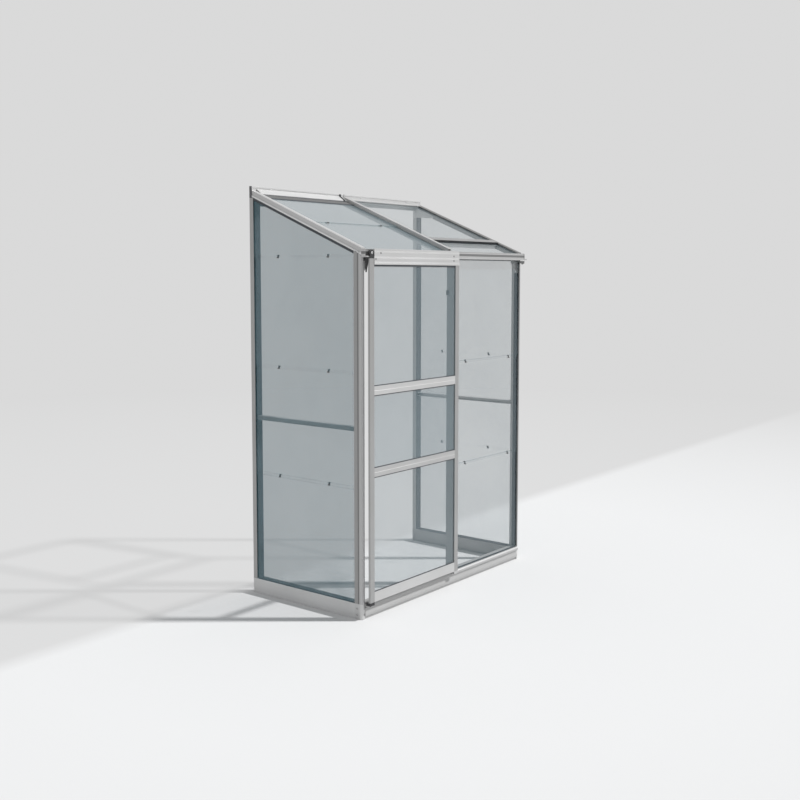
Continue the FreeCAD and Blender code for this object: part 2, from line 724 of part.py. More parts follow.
def gable_glass():
    front = "corner_depth - groove_depth + 2"
    back = "depth - wall_post_width + groove_depth - 2"
    seat = "sill_height - groove_depth + glass_foot"
    laps = [f"gable_lap_height + {index} * gable_lap_pitch" for index in range(3)]
    heights = [f"gable_lap_height + lap - ({seat})", "gable_lap_pitch + lap", "gable_lap_pitch + lap"]
    lower = []
    for index, height in enumerate(heights):
        foot = seat if index == 0 else laps[index - 1]
        lower.append(gable_pane(f"gable_pane_{index}", rectangle(front, "0", back, height), foot))
    roof_line = "eave_height - rafter_underside + 8 / cos(roof_pitch)"
    corners = [
        (front, "0"), (back, "0"),
        (back, f"{roof_line} + ({back}) * tan(roof_pitch) - ({laps[2]})"),
        (front, f"{roof_line} + ({front}) * tan(roof_pitch) - ({laps[2]})"),
    ]
    return group("gable_panes_left", lower), gable_pane("gable_top_pane_left", corners, laps[2])


def front_glass():
    left = "x_left + mullion_left + mullion_width - groove_depth + 2"
    right = "x_right - corner_width + groove_depth - 2"
    seat = "sill_height - groove_depth + glass_foot"
    laps = ["front_lap_height", "front_lap_height + front_lap_pitch"]
    feet = [seat] + laps
    heads = ["front_lap_height + lap", "front_lap_height + front_lap_pitch + lap", "post_top - 8"]
    panes = []
    for index in range(3):
        panes.append(extrusion(f"front_pane_{index}", "XZ",
                               [rectangle(left, "0", right, f"{heads[index]} - ({feet[index]})")], "glass",
                               ("0", f"y_front + {PANE_FOOT}", feet[index]), ("X", f"-{FRONT_TILT}")))
    return group("front_panes", panes)


def roof_pane(label, x0, x1, start, end, lift="0"):
    """Pane on the roof ledges. A lifted pane rests on the one below it at its foot."""
    length = f"(({end}) - ({start}))"
    tilt = f"asin(({lift}) / {length}) / 1deg"
    top = f"roof_glass_top + ({lift})"
    return extrusion(label, "YZ", [rectangle("0", "-glass", length, "0")], f"({x1}) - ({x0})",
                     (x0,
                      f"y_front + ({start}) * cos(roof_pitch) - ({top}) * sin(roof_pitch)",
                      f"eave_height + ({start}) * sin(roof_pitch) + ({top}) * cos(roof_pitch)"),
                     ("X", f"roof_pitch - {tilt}"))


panes_left, top_pane_left = gable_glass()
keep(panes_left, top_pane_left)
keep(mirrored("gable_panes_right", panes_left), mirrored("gable_top_pane_right", top_pane_left))
keep(front_glass())
keep(group("roof_panes", [
    roof_pane("roof_pane_lower", "x_left + rafter_cap + 1.5", "-roof_bar_half - 1.5",
              "-roof_overhang", "roof_lap_distance + lap"),
    roof_pane("roof_pane_upper", "x_left + rafter_cap + 1.5", "-roof_bar_half - 1.5",
              "roof_lap_distance", "roof_end", "glass + lap_gap"),
]))
keep(roof_pane("roof_pane_eave", "roof_bar_half + 1.5", "x_right - rafter_cap - 1.5",
               "-roof_overhang", "vent_bottom_distance + eave_pane_lap"))


# Rubber strips that line the grooves and the inner faces beside the glass

EDGE = "groove_end - glass_edge"


def gable_seals():
    sill = extrusion("seal_sill", "XZ", [[
        (EDGE, "sill_height - groove_depth + 2"), ("groove_end", "sill_height - groove_depth + 2"),
        ("groove_end", "sill_height"), ("member_depth - wall", "sill_height"),
        ("member_depth - wall", "sill_height + seal"), (EDGE, "sill_height + seal")]],
        "depth - corner_depth - wall_post_width - 2 * seal - 0.4",
        ("x_left", "y_front + corner_depth + seal + 0.2", "0"))
    back = extrusion("seal_wall", "XY", [[
        (EDGE, "groove_depth - 1"), (EDGE, "-seal"), ("member_depth - wall", "-seal"),
        ("member_depth - wall", "0"), ("groove_end", "0"), ("groove_end", "groove_depth - 1")]],
        "eave_height + (depth - wall_post_width) * tan(roof_pitch) - rafter_underside"
        " - 3 * seal - sill_height - seal",
        ("x_left", "y_wall - wall_post_width", "sill_height + seal + 0.2"))
    front = extrusion("seal_corner", "XY", [[
        (EDGE, "1 - groove_depth"), ("groove_end", "1 - groove_depth"), ("groove_end", "0"),
        ("corner_width - 1", "0"), ("corner_width - 1", "seal"), (EDGE, "seal")]],
        "post_top - 2 * seal - sill_height - seal",
        ("x_left", "y_front + corner_depth", "sill_height + seal + 0.2"))
    start = "corner_depth / cos(roof_pitch) - rafter_height * tan(roof_pitch) + 6"
    end = "(depth - wall_post_width) / cos(roof_pitch) - rafter_height * tan(roof_pitch) - 6"
    low = "-rafter_height"
    slope = extrusion("seal_rafter", "XZ", [[
        (EDGE, f"{low} - seal"), ("member_depth - wall", f"{low} - seal"), ("member_depth - wall", low),
        ("groove_end", low), ("groove_end", f"{low} + groove_depth - 1"),
        (EDGE, f"{low} + groove_depth - 1")]],
        f"({end}) - ({start})",
        ("x_left", f"y_front + ({start}) * cos(roof_pitch)", f"eave_height + ({start}) * sin(roof_pitch)"),
        ROOF_TURN)
    return group("glazing_seal_left", [sill, back, front, slope])


def front_seals():
    """Strips of the fixed bay beside the door."""
    height = "eave_leg - eave_gusset_leg - sill_height - 2 * seal"
    low = "sill_height + seal + 0.2"
    left = "x_left + mullion_left + mullion_width"
    right = "x_right - corner_width"
    mullion_strip = extrusion("seal_mullion", "XY", [[
        ("2 - groove_depth", EDGE), ("seal", EDGE), ("seal", "groove_end + seal_width"),
        ("0", "groove_end + seal_width"), ("0", "groove_end"), ("2 - groove_depth", "groove_end")]],
        height, (left, "y_front", low))
    post_strip = extrusion("seal_post", "XY", [[
        ("groove_depth - 2", EDGE), ("groove_depth - 2", "groove_end"), ("0", "groove_end"),
        ("0", "groove_end + seal_width"), ("-seal", "groove_end + seal_width"), ("-seal", EDGE)]],
        height, (right, "y_front", low))
    span = "width - mullion_left - mullion_width - corner_width - 2 * seal - 0.4"
    sill_strip = extrusion("seal_front_sill", "YZ", [[
        (EDGE, "sill_height - groove_depth + 2"), ("groove_end", "sill_height - groove_depth + 2"),
        ("groove_end", "sill_height"), ("groove_end + 4", "sill_height"),
        ("groove_end + 4", "sill_height + seal"), (EDGE, "sill_height + seal")]],
        span, (f"{left} + seal + 0.2", "y_front", "0"))
    head_strip = extrusion("seal_head", "YZ", [rectangle(EDGE, "eave_leg + 2", "groove_end", "post_top - 4")],
                           span, (f"{left} + seal + 0.2", "y_front", "0"))
    return group("glazing_seal_front", [mullion_strip, post_strip, sill_strip, head_strip])


def roof_seals():
    """Strips under the roof panes, on the ledges, the eave and the vent sill."""
    pieces = []
    eave_pane_end = "vent_bottom_distance + eave_pane_lap - 12"
    ledge = "-ledge_drop"
    start = "18"
    rows = [
        ("left_rafter", "x_left + rafter_cap + 1", "ledge_width", "roof_end - 8"),
        ("left_bar", "-roof_bar_half - ledge_width + 1", "ledge_width - 2", "roof_end - 8"),
        ("right_bar", "roof_bar_half + 1", "ledge_width - 2", eave_pane_end),
        ("right_rafter", "x_right - member_depth + 1", "ledge_width", eave_pane_end),
    ]
    for name, x, width, end in rows:
        pieces.append(extrusion(f"seal_{name}", "XZ", [rectangle("0", ledge, width, f"{ledge} + roof_seal")],
                                f"{end} - {start}",
                                (x, f"y_front + {start} * cos(roof_pitch)",
                                 f"eave_height + {start} * sin(roof_pitch)"), ROOF_TURN))
    under = "eave_height + (roof_glass_top - glass) / cos(roof_pitch) - 0.2"
    for name, x0, x1 in (("eave_left", "x_left + member_depth", "-roof_bar_half - ledge_width"),
                         ("eave_right", "roof_bar_half + ledge_width", "x_right - member_depth")):
        pieces.append(extrusion(f"seal_{name}", "YZ", [[
            ("0", "post_top"), ("groove_end", "post_top"),
            ("groove_end", f"{under} + groove_end * tan(roof_pitch)"), ("0", under)]],
            f"({x1}) - ({x0})", (x0, "y_front", "0")))
    cover = "roof_glass_top + roof_strip_air"
    pieces.append(extrusion("seal_ridge", "YZ", [rectangle(
        "roof_end - roof_strip", cover, "roof_end", f"{cover} + roof_strip_thickness")],
        "width / 2 - rafter_cap - roof_bar_half - 3",
        ("x_left + rafter_cap + 1.5", "y_front", "eave_height"), ROOF_TURN))
    pieces.append(extrusion("seal_vent_sill", "YZ", [rectangle(
        "vent_bottom_distance + 4", ledge, f"{eave_pane_end} + 10", f"{ledge} + roof_seal")],
        "bay_right - roof_bar_half - ledge_width",
        ("roof_bar_half + ledge_width", "y_front", "eave_height"), ROOF_TURN))
    return group("glazing_seal_roof", pieces)


seals_left = keep(gable_seals())
keep(mirrored("glazing_seal_right", seals_left), front_seals(), roof_seals())


# Lap clips: bent strips that carry each pane on the one below

def clip_section():
    """S-shaped strip around the lap, as (out from the lower pane's face, up from its top edge)."""
    near = "(lap_gap - clip_metal) / 2"
    far = "(lap_gap + clip_metal) / 2"
    inner = "-glass - clip_air"
    outer = "lap_gap + glass + clip_air"
    foot = "-lap - clip_air"
    return [
        (near, foot), (near, "clip_air"), (inner, "clip_air"), (inner, "-clip_hook"),
        (f"{inner} - clip_metal", "-clip_hook"), (f"{inner} - clip_metal", "clip_air + clip_metal"),
        (far, "clip_air + clip_metal"), (far, foot), (outer, foot), (outer, "clip_hook - lap"),
        (f"{outer} + clip_metal", "clip_hook - lap"), (f"{outer} + clip_metal", f"{foot} - clip_metal"),
        (near, f"{foot} - clip_metal"),
    ]


def wall_clips(label, plane, foot, pitch, count, places, tilt):
    """Clips of one glazed side. Each sits at the top edge of the pane below the lap."""
    section = [(f"-({out})", rise) for out, rise in clip_section()]
    pieces = []
    for lap_index in range(count):
        top = f"{foot} + {lap_index} * {pitch} + lap"
        length = f"({pitch} + lap)"
        if lap_index == 0:
            length = f"({foot} + lap - sill_height + groove_depth - glass_foot)"
        drift = f"{PANE_FOOT} + {length} * (glass + lap_gap) / {pitch}"
        for place_index, along in enumerate(places):
            name = f"{label}_{lap_index}_{place_index}"
            if plane == "XZ":
                base = (f"x_left + {drift}", f"y_front + {along} - clip_width / 2", top)
                turn = ("Y", tilt)
            else:
                base = (f"x_left + {along} - clip_width / 2", f"y_front + {drift}", top)
                turn = ("X", f"-{tilt}")
            pieces.append(extrusion(name, plane, [section], "clip_width", base, turn))
    return group(label, pieces)


def roof_clips():
    section = [(rise, out) for out, rise in clip_section()]
    distance = "(roof_lap_distance + lap)"
    pieces = []
    for index, along in enumerate(("roof_clip_inset", "width / 2 - roof_clip_inset - roof_bar_half")):
        base = (f"x_left + {along} - clip_width / 2",
                f"y_front + {distance} * cos(roof_pitch) - roof_glass_top * sin(roof_pitch)",
                f"eave_height + {distance} * sin(roof_pitch) + roof_glass_top * cos(roof_pitch)")
        pieces.append(extrusion(f"roof_clip_{index}", "YZ", [section], "clip_width", base, ROOF_TURN))
    return group("roof_clips", pieces)


gable_clips = wall_clips("gable_clips", "XZ", "gable_lap_height", "gable_lap_pitch", 3,
                         ("(corner_depth + gable_clip_inset)",
                          "(depth - wall_post_width - gable_clip_inset)"), GABLE_TILT)
front_clips = wall_clips("front_clips", "YZ", "front_lap_height", "front_lap_pitch", 2,
                         ("(mullion_left + front_clip_inset)", "(width - front_clip_inset)"), FRONT_TILT)
keep(group("lap_clips", [gable_clips, mirrored("gable_clips_right", gable_clips), front_clips, roof_clips()]))


# Gusset plates and their bolts

def ridge_gusset():
    """Plate on the inner faces of rafter and wall post, under the ridge bar."""
    back = "depth - ridge_gusset_inset"
    rest = "depth - ridge_thickness - 0.5"
    line = "eave_height - rafter_underside / 2"
    far = f"{rest} - ridge_gusset_leg"
    low = "ridge_base - ridge_gusset_drop"
    corners = [
        (back, low), (back, "ridge_base - 1"), (rest, "ridge_base - 1"),
        (rest, f"{line} + ({rest}) * tan(roof_pitch)"), (far, f"{line} + ({far}) * tan(roof_pitch)"),
        (far, f"{line} + ({far}) * tan(roof_pitch) - rafter_underside / 2"),
        ("depth - wall_post_width", low),
    ]
    return extrusion("ridge_gusset_left", "YZ", [corners], "gusset", ("x_left + member_depth", "y_front", "0"))


def eave_gusset():
    """Plate in the corner between gutter and corner post, behind the glass."""
    leg = "eave_gusset_leg"
    top = "eave_leg + 20"
    corners = [("0", f"eave_leg - {leg}"), (f"{leg} / 5", f"eave_leg - {leg}"), (leg, "eave_leg - 10"),
               (leg, top), ("0", top)]
    return extrusion("eave_gusset_left", "XZ", [corners], "gusset",
                     ("x_left + corner_width", "y_front + groove_end + wall", "0"))


def gusset_bolts():
    pieces = []
    line = "eave_height - rafter_underside / 2"
    post = "depth - wall_post_width / 2 - 3"
    near = "depth - ridge_thickness - ridge_gusset_leg / 3"
    far = "depth - ridge_thickness - ridge_gusset_leg + 12"
    spots = [
        (post, "ridge_base - ridge_gusset_drop + 9"), (post, "ridge_base - ridge_gusset_drop / 4"),
        (near, f"{line} + ({near}) * tan(roof_pitch) - 7"), (far, f"{line} + ({far}) * tan(roof_pitch) - 7"),
    ]
    for index, (y, z) in enumerate(spots):
        pieces.append(rod(f"ridge_bolt_{index}", "bolt_head_radius", "bolt_head",
                          ("x_left + member_depth + gusset", f"y_front + {y}", z), "X"))
    for index, x in enumerate(("eave_gusset_leg - 12", "12")):
        pieces.append(rod(f"eave_bolt_{index}", "bolt_head_radius", "bolt_head",
                          (f"x_left + corner_width + {x}", "y_front + groove_end + wall + gusset",
                           "eave_leg + 10"), "Y"))
    return group("gusset_bolts", pieces)


ridge_gusset_left = ridge_gusset()
eave_gusset_left = eave_gusset()
keep(group("ridge_gussets", [ridge_gusset_left, mirrored("ridge_gusset_right", ridge_gusset_left)]))
keep(group("eave_gussets", [eave_gusset_left, mirrored("eave_gusset_right", eave_gusset_left)]))
bolts_left = group("bolts_left", [corner_bolts_left, gusset_bolts()])
keep(group("frame_bolts", [bolts_left, mirrored("bolts_right", bolts_left)]))


# Door stops on the corner posts, the catch and the rubber lip on the mullion

def door_stop(label, tail):
    """Tapered buffer on the front of a corner post, beside the edge of the door's stile."""
    reach = "-(door_front - plate_thickness - door_thickness + stop_bite)"
    outline = [
        ("0", "-stop_neck"), ("0", "0"), (reach, "0"), (reach, "-stop_neck"),
        (f"{reach} * 0.62", f"-{tail}"), (f"{reach} * 0.4", f"-{tail}"), (f"{reach} * 0.3", "-stop_neck"),
    ]
    return extrusion(label, "YZ", [outline[::-1]], "door_left - corner_radius - 1.5",
                     ("x_left + corner_radius + 1", "y_front", "gutter_bottom - 4"))


def door_stops():
    left = door_stop("door_stop_left", "stop_tail")
    right = mirrored("door_stop_right", door_stop("door_stop_short", "stop_short_tail"))
    catch = block("mullion_catch", ("x_left + mullion_left - catch_reach", "y_front + corner_depth - catch_width",
                                    "upper_rail_height + catch_rise"),
                  ("catch_reach", "catch_width", "catch_length"))
    return group("door_stops", [left, right, catch])


def draught_seal():
    tip = "door_back - y_front + draught_gap"
    outline = [("0", "0"), ("14", "0"), ("14", "-3"), ("5", "-3"), ("3.5", tip), ("1", tip), ("0", "-3")]
    return extrusion("draught_seal", "XY", [outline[::-1]], "eave_leg - door_bottom - 4",
                     ("x_left + mullion_left", "y_front", "door_bottom + 1"))


keep(door_stops(), draught_seal())


# Sliding door

def door_frame():
    groove_in = "(door_thickness - door_groove) / 2"
    groove_out = "(door_thickness + door_groove) / 2"
    stile = [
        ("0", "0"), ("stile_width", "0"), ("stile_width", groove_in),
        ("stile_width - door_groove_depth", groove_in), ("stile_width - door_groove_depth", groove_out),
        ("stile_width", groove_out), ("stile_width", "door_thickness"), ("0", "door_thickness"),
    ]
    hollow = rectangle("door_wall", "door_wall", "stile_width - door_groove_depth - door_wall",
                       "door_thickness - door_wall")
    height = "stile_top - door_bottom"
    left = extrusion("door_stile_left", "XY", [stile, hollow], height, ("door_x", "door_face", "door_bottom"))
    flip = [("-(" + x + ")", y) for x, y in stile][::-1]
    flip_hollow = [("-(" + x + ")", y) for x, y in hollow][::-1]
    right = extrusion("door_stile_right", "XY", [flip, flip_hollow], height,
                      ("door_x + door_width", "door_face", "door_bottom"))
    span = "door_width - 2 * stile_width"
    rails = []
    for label, low in (("door_rail_upper", "upper_rail_height"), ("door_rail_lower", "lower_rail_height")):
        rail = [
            ("0", "0"), (groove_in, "0"), (groove_in, "door_groove_depth"), (groove_out, "door_groove_depth"),
            (groove_out, "0"), ("door_thickness", "0"), ("door_thickness", "door_rail"),
            (groove_out, "door_rail"), (groove_out, "door_rail - door_groove_depth"),
            (groove_in, "door_rail - door_groove_depth"), (groove_in, "door_rail"), ("0", "door_rail"),
            ("0", "door_rail / 2 + 1"), ("0.8", "door_rail / 2"), ("0", "door_rail / 2 - 1"),
        ]
        core = rectangle("door_wall + 0.8", "door_groove_depth + door_wall", "door_thickness - door_wall",
                         "door_rail - door_groove_depth - door_wall")
        rails.append(extrusion(label, "YZ", [rail, core], span, ("stile_inner", "door_face", low)))
    foot = [
        ("0", "0"), ("door_thickness", "0"), ("door_thickness", "bottom_rail"), (groove_out, "bottom_rail"),
        (groove_out, "bottom_rail - door_groove_depth"), (groove_in, "bottom_rail - door_groove_depth"),
        (groove_in, "bottom_rail"), ("0", "bottom_rail"),
    ]
    foot_hollow = rectangle("door_wall", "door_wall", "door_thickness - door_wall",
                            "bottom_rail - door_groove_depth - door_wall")
    bottom = extrusion("door_rail_bottom", "YZ", [foot, foot_hollow], span,
                       ("stile_inner", "door_face", "door_bottom"))
    return left, right, rails[0], rails[1], bottom


def door_head():
    """Ribbed face plate with the glazing channel of the top rail behind it."""
    groove_in = "(door_thickness - door_groove) / 2"
    groove_out = "(door_thickness + door_groove) / 2"
    depth = "plate_thickness"
    plate = [("0", "0"), (depth, "0"), (depth, "plate_height"), ("0", "plate_height")]
    for rib in (60, 56, 34, 30, 12, 8):
        middle = f"plate_height * {rib} / 70"
        plate += [("0", f"{middle} + 0.8"), ("0.5", middle), ("0", f"{middle} - 0.8")]
    face = extrusion("door_plate", "YZ", [plate], "door_width - stile_width - plate_thickness",
                     ("stile_inner", "door_face - plate_thickness", "plate_bottom"))
    channel = [
        ("0", "0"), (groove_in, "0"), (groove_in, "door_groove_depth"), (groove_out, "door_groove_depth"),
        (groove_out, "0"), ("door_thickness", "0"), ("door_thickness", "top_rail"), ("0", "top_rail"),
    ]
    core = rectangle("door_wall", "door_groove_depth + door_wall", "door_thickness - door_wall",
                     "top_rail - door_wall")
    rail = extrusion("door_top_rail", "YZ", [channel, core], "door_width - 2 * stile_width",
                     ("stile_inner", "door_face", "plate_bottom"))
    return fuse("door_top_plate", [face, rail])


def door_glass():
    bite = "door_glass_bite"
    x0 = f"stile_inner - {bite}"
    width = f"door_width - 2 * stile_width + 2 * {bite}"
    rows = [
        ("door_pane_bottom", "door_bottom + bottom_rail", "lower_rail_height"),
        ("door_pane_middle", "lower_rail_height + door_rail", "upper_rail_height"),
        ("door_pane_top", "upper_rail_height + door_rail", "plate_bottom"),
    ]
    panes = []
    for label, low, high in rows:
        panes.append(extrusion(label, "XY", [rectangle("0", "0", width, "glass")],
                               f"({high}) - ({low}) + 2 * {bite}",
                               (x0, "door_glass_y", f"{low} - {bite}")))
    return panes


def door_seals():
    """Rubber strips in front of the glass, along the top plate and the rails."""
    span = "door_width - 2 * stile_width"
    pieces = []
    for name, low, height in (("head", "plate_bottom - 2 * door_seal", "2 * door_seal"),
                              ("over_upper", "upper_rail_height + door_rail", "door_seal"),
                              ("under_upper", "upper_rail_height - door_seal", "door_seal"),
                              ("over_lower", "lower_rail_height + door_rail", "door_seal"),
                              ("under_lower", "lower_rail_height - door_seal", "door_seal"),
                              ("foot", "door_bottom + bottom_rail", "door_seal")):
        pieces.append(block(f"door_seal_{name}", ("stile_inner", "door_glass_y - 2", low),
                            (span, "2", height)))
    return group("door_seal", pieces)


def glides():
    """Plastic feet under the stiles that run along the nose of the sill."""
    size = ("stile_width", "-nose_radius - nose_clearance - (door_face - y_front)", "glide_drop")
    pieces = []
    for name, x in (("left", "door_x"), ("right", "stile_right")):
        pieces.append(block(f"glide_{name}", (x, "door_face", "door_bottom - glide_drop"), size))
    return group("door_glides", pieces)


def hanger(side, x):
    """Bracket plugged into the top of a stile that carries the wheel's axle."""
    half = "hanger_width / 2"
    top = "wheel_z - stile_top"
    plate = [
        (f"-{half}", "0"), (half, "0"), (half, top, f"{half} * 1.02", "left"), (f"-{half}", top),
    ]
    upright = extrusion(f"hanger_plate_{side}", "XZ", [plate], "hanger", (x, "door_face", "stile_top"))
    foot = block(f"hanger_foot_{side}", (f"{x} - {half}", "door_face", "stile_top"),
                 ("hanger_width", "door_thickness - 2", "hanger_foot"))
    inner = "stile_width - door_groove_depth - 2 * door_wall - 0.4"
    start = "door_x + door_wall + 0.2" if side == "left" else \
        "door_x + door_width - stile_width + door_groove_depth + door_wall + 0.2"
    tongue = block(f"hanger_tongue_{side}", (start, "door_face + door_wall + 0.2", "stile_top - hanger_tongue"),
                   (inner, "door_thickness - 2 * door_wall - 0.4", "hanger_tongue"))
    hole = rod(f"hanger_hole_{side}", "axle_radius + axle_clearance", "hanger + 2",
               (x, "door_face - 1", "wheel_z"), "Y")
    return cut(f"door_hanger_{side}", fuse(f"hanger_blank_{side}", [upright, foot, tongue]), [hole])


def axle(side, x):
    """Rivet with its head behind the wheel."""
    shank = rod(f"axle_shank_{side}", "axle_radius", "wheel_y + wheel_width / 2 - door_face + 0.2",
                (x, "door_face", "wheel_z"), "Y")
    head = rod(f"axle_head_{side}", "axle_radius + 2", "3", (x, "wheel_y + wheel_width / 2 + 0.2", "wheel_z"), "Y")
    return fuse(f"axle_{side}", [shank, head])


def wheel(label, x):
    """Grooved wheel turned about its axle, which lies along Y."""
    body = doc.addObject("PartDesign::Body", label)
    body.Label = label
    support = [item for item in body.Origin.OriginFeatures if item.Role == "YZ_Plane"][0]
    sketch = body.newObject("Sketcher::SketchObject", f"{label}_section")
    sketch.AttachmentSupport = (support, [""])
    sketch.MapMode = "FlatFace"
    half = "wheel_width / 2"
    slot = "wheel_groove / 2"
    bore = "axle_radius + axle_clearance"
    draw(sketch, [
        (f"-{half}", bore), (half, bore), (half, "wheel_radius"), (slot, "wheel_radius"),
        (slot, "wheel_groove_radius"), (f"-{slot}", "wheel_groove_radius"), (f"-{slot}", "wheel_radius"),
        (f"-{half}", "wheel_radius")], "a")
    turned = body.newObject("PartDesign::Revolution", f"{label}_turned")
    turned.Profile = sketch
    turned.ReferenceAxis = (sketch, ["H_Axis"])
    turned.Angle = 360
    place(body, (x, "wheel_y", "wheel_z"))
    return body


WHEEL_LEFT = "door_x + stile_width / 2"
WHEEL_RIGHT = "door_x + door_width - stile_width / 2"
keep(*door_frame())
keep(door_head(), *door_glass())
keep(door_seals(), glides())
keep(group("door_hangers", [hanger("left", WHEEL_LEFT), hanger("right", WHEEL_RIGHT)]))
keep(group("wheel_axles", [axle("left", WHEEL_LEFT), axle("right", WHEEL_RIGHT)]))
keep(wheel("door_wheel_left", WHEEL_LEFT), wheel("door_wheel_right", WHEEL_RIGHT))


# Roof vent, drawn about its hinge line: Y up the slope, Z square to the glass

VENT_SPAN = "vent_right - vent_left"
PANE_LOW = "vent_datum - glass - 0.3"
PANE_HIGH = "vent_datum + 0.3"


def vent_head():
    """Top rail whose neck ends in the bead that turns in the ridge slot."""
    neck = "hinge_neck / 2"
    root = "sqrt(bead_radius ^ 2 - (hinge_neck / 2) ^ 2)"
    near = "-7"
    far = "-7 - vent_hinge_rail"
    outline = [
        (f"-{root}", f"-{neck}", "bead_radius", "left big"), (f"-{root}", neck), (near, neck),
        (near, "vent_high"), (far, "vent_high"), (far, PANE_HIGH), (f"{far} + groove_depth", PANE_HIGH),
        (f"{far} + groove_depth", PANE_LOW), (far, PANE_LOW), (far, "vent_low"), (near, "vent_low"),
        (near, f"-{neck}"),
    ]
    hollow = rectangle(f"{far} + groove_depth + wall", "vent_low + wall", f"{near} - wall", "vent_high - wall")
    return extrusion("vent_hinge_rail", "YZ", [outline, hollow], VENT_SPAN,
                     ("vent_left", "hinge_y", "hinge_z"), ROOF_TURN)


def vent_side():
    outline = [
        ("0", "vent_low"), ("vent_rail", "vent_low"), ("vent_rail", PANE_LOW),
        ("vent_rail - groove_depth", PANE_LOW), ("vent_rail - groove_depth", PANE_HIGH),
        ("vent_rail", PANE_HIGH), ("vent_rail", "vent_high"), ("0", "vent_high"),
    ]
    hollow = rectangle("wall", "vent_low + wall", "vent_rail - groove_depth - wall", "vent_high - wall")
    length = "vent_length - vent_bottom_rail - vent_hinge_rail - 7"
    start = "vent_length - vent_bottom_rail"
    base = (f"hinge_y - ({start}) * cos(roof_pitch)", f"hinge_z - ({start}) * sin(roof_pitch)")
    left = extrusion("vent_side_left", "XZ", [outline, hollow], length, ("vent_left",) + base, ROOF_TURN)
    flip = [("-(" + x + ")", y) for x, y in outline][::-1]
    flip_hollow = [("-(" + x + ")", y) for x, y in hollow][::-1]
    right = extrusion("vent_side_right", "XZ", [flip, flip_hollow], length, ("vent_right",) + base, ROOF_TURN)
    return left, right


def vent_foot():
    """Bottom rail over the eave pane, with the slanted lug of the stay."""
    near = "vent_bottom_rail - vent_length"
    outline = [
        ("-vent_length", "vent_lip"), (near, "vent_lip"), (near, PANE_LOW), (f"{near} - groove_depth", PANE_LOW),
        (f"{near} - groove_depth", PANE_HIGH), (near, PANE_HIGH), (near, "vent_high"),
        ("-vent_length", "vent_high"),
    ]
    hollow = rectangle("wall - vent_length", "vent_lip + wall", f"{near} - groove_depth - wall", "vent_high - wall")
    rail = extrusion("vent_foot_rail", "YZ", [outline, hollow], VENT_SPAN,
                     ("vent_left", "hinge_y", "hinge_z"), ROOF_TURN)
    drop = "(stay_pivot_drop + 10)"
    gap = "(stay_thickness / 2 + 0.2)"
    run = f"{drop} * tan(stay_tilt)"
    face = f"stay_pivot_drop * tan(stay_tilt) + {gap} / cos(stay_tilt)"
    top = f"-pivot_s - ({face})"
    lug_outline = [
        (top, "vent_lip"), (f"{top} - 3 / cos(stay_tilt)", "vent_lip"),
        (f"{top} - 3 / cos(stay_tilt) + {run}", f"vent_lip - {drop}"), (f"{top} + {run}", f"vent_lip - {drop}"),
    ]
    lug_blank = extrusion("stay_lug_blank", "YZ", [lug_outline], "20",
                          ("stay_x - 10", "hinge_y", "hinge_z"), ROOF_TURN)
    return fuse("vent_bottom_rail", [rail, lug_blank])


def vent_glass():
    side = "groove_depth - 1.5"
    start = f"vent_length - vent_bottom_rail + {side}"
    outline = rectangle("0", "vent_datum - glass", f"{start} - vent_hinge_rail - 7 + {side}", "vent_datum")
    return extrusion("vent_pane", "YZ", [outline], f"{VENT_SPAN} - 2 * vent_rail + 2 * ({side})",
                     (f"vent_left + vent_rail - ({side})",
                      f"hinge_y - ({start}) * cos(roof_pitch)", f"hinge_z - ({start}) * sin(roof_pitch)"),
                     ROOF_TURN)


LEAN = "roof_pitch + stay_tilt"


def pivot_place(x, back):
    """Point on the stay's pivot line, a distance back towards the eave."""
    return (x, f"hinge_y - pivot_s * cos(roof_pitch) - pivot_h * sin(roof_pitch) - ({back}) * cos({LEAN})",
            f"hinge_z - pivot_s * sin(roof_pitch) + pivot_h * cos(roof_pitch) - ({back}) * sin({LEAN})")


def stay():
    """Perforated flat bar that folds along the vent's bottom rail."""
    half = "stay_width / 2"
    outline = [
        ("-stay_length", half, f"{half} * 1.02", "left"), ("-stay_length", f"-{half}"),
        ("0", f"-{half}", f"{half} * 1.02", "left"), ("0", half),
    ]
    bar = extrusion("stay_bar", "XZ", [outline], "stay_thickness",
                    pivot_place("stay_x", "stay_thickness / 2"), ("X", LEAN))
    holes = []
    for index in range(5):
        back = "0" if index == 0 else f"(stay_length - {4 - index} * stay_hole_pitch)"
        radius = "axle_radius + axle_clearance" if index == 0 else "stay_hole_radius"
        holes.append(rod(f"stay_hole_{index}", radius, "stay_thickness + 4",
                         pivot_place(f"stay_x - {back}", "stay_thickness / 2 + 2"), "Y", LEAN))
    return cut("vent_stay", bar, holes)


def stay_bolt():
    """Bolt that the stay turns on, with its head on the inner side."""
    shank = rod("stay_bolt_shank", "axle_radius", "stay_thickness + 0.4",
                pivot_place("stay_x", "stay_thickness / 2 + 0.2"), "Y", LEAN)
    head = rod("stay_bolt_head", "axle_radius + 2.5", "2.5",
               pivot_place("stay_x", "-(stay_thickness / 2 + 0.2)"), "Y", LEAN)
    return fuse("stay_bolt", [shank, head])


keep(vent_head(), *vent_side())
keep(vent_foot(), vent_glass(), stay(), stay_bolt())

doc.recompute()

for item in doc.Objects:
    state = " ".join(item.State)
    if "Invalid" in state or "Error" in state:
        raise RuntimeError(f"{item.Label} failed: {state}")

os.makedirs("parts", exist_ok=True)
for node in nodes:
    if node.Shape.isNull() or not node.Shape.isValid():
        raise RuntimeError(f"{node.Label} has no valid shape")
    node.Shape.exportStep(f"parts/{node.Label}.step")

whole = Part.makeCompound([node.Shape for node in nodes])
print("nodes", len(nodes), "solids", len(whole.Solids), "box", whole.BoundBox)
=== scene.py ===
import math

import bmesh
import bpy
from bpy.props import FloatProperty, FloatVectorProperty, PointerProperty
from mathutils import Matrix, Vector


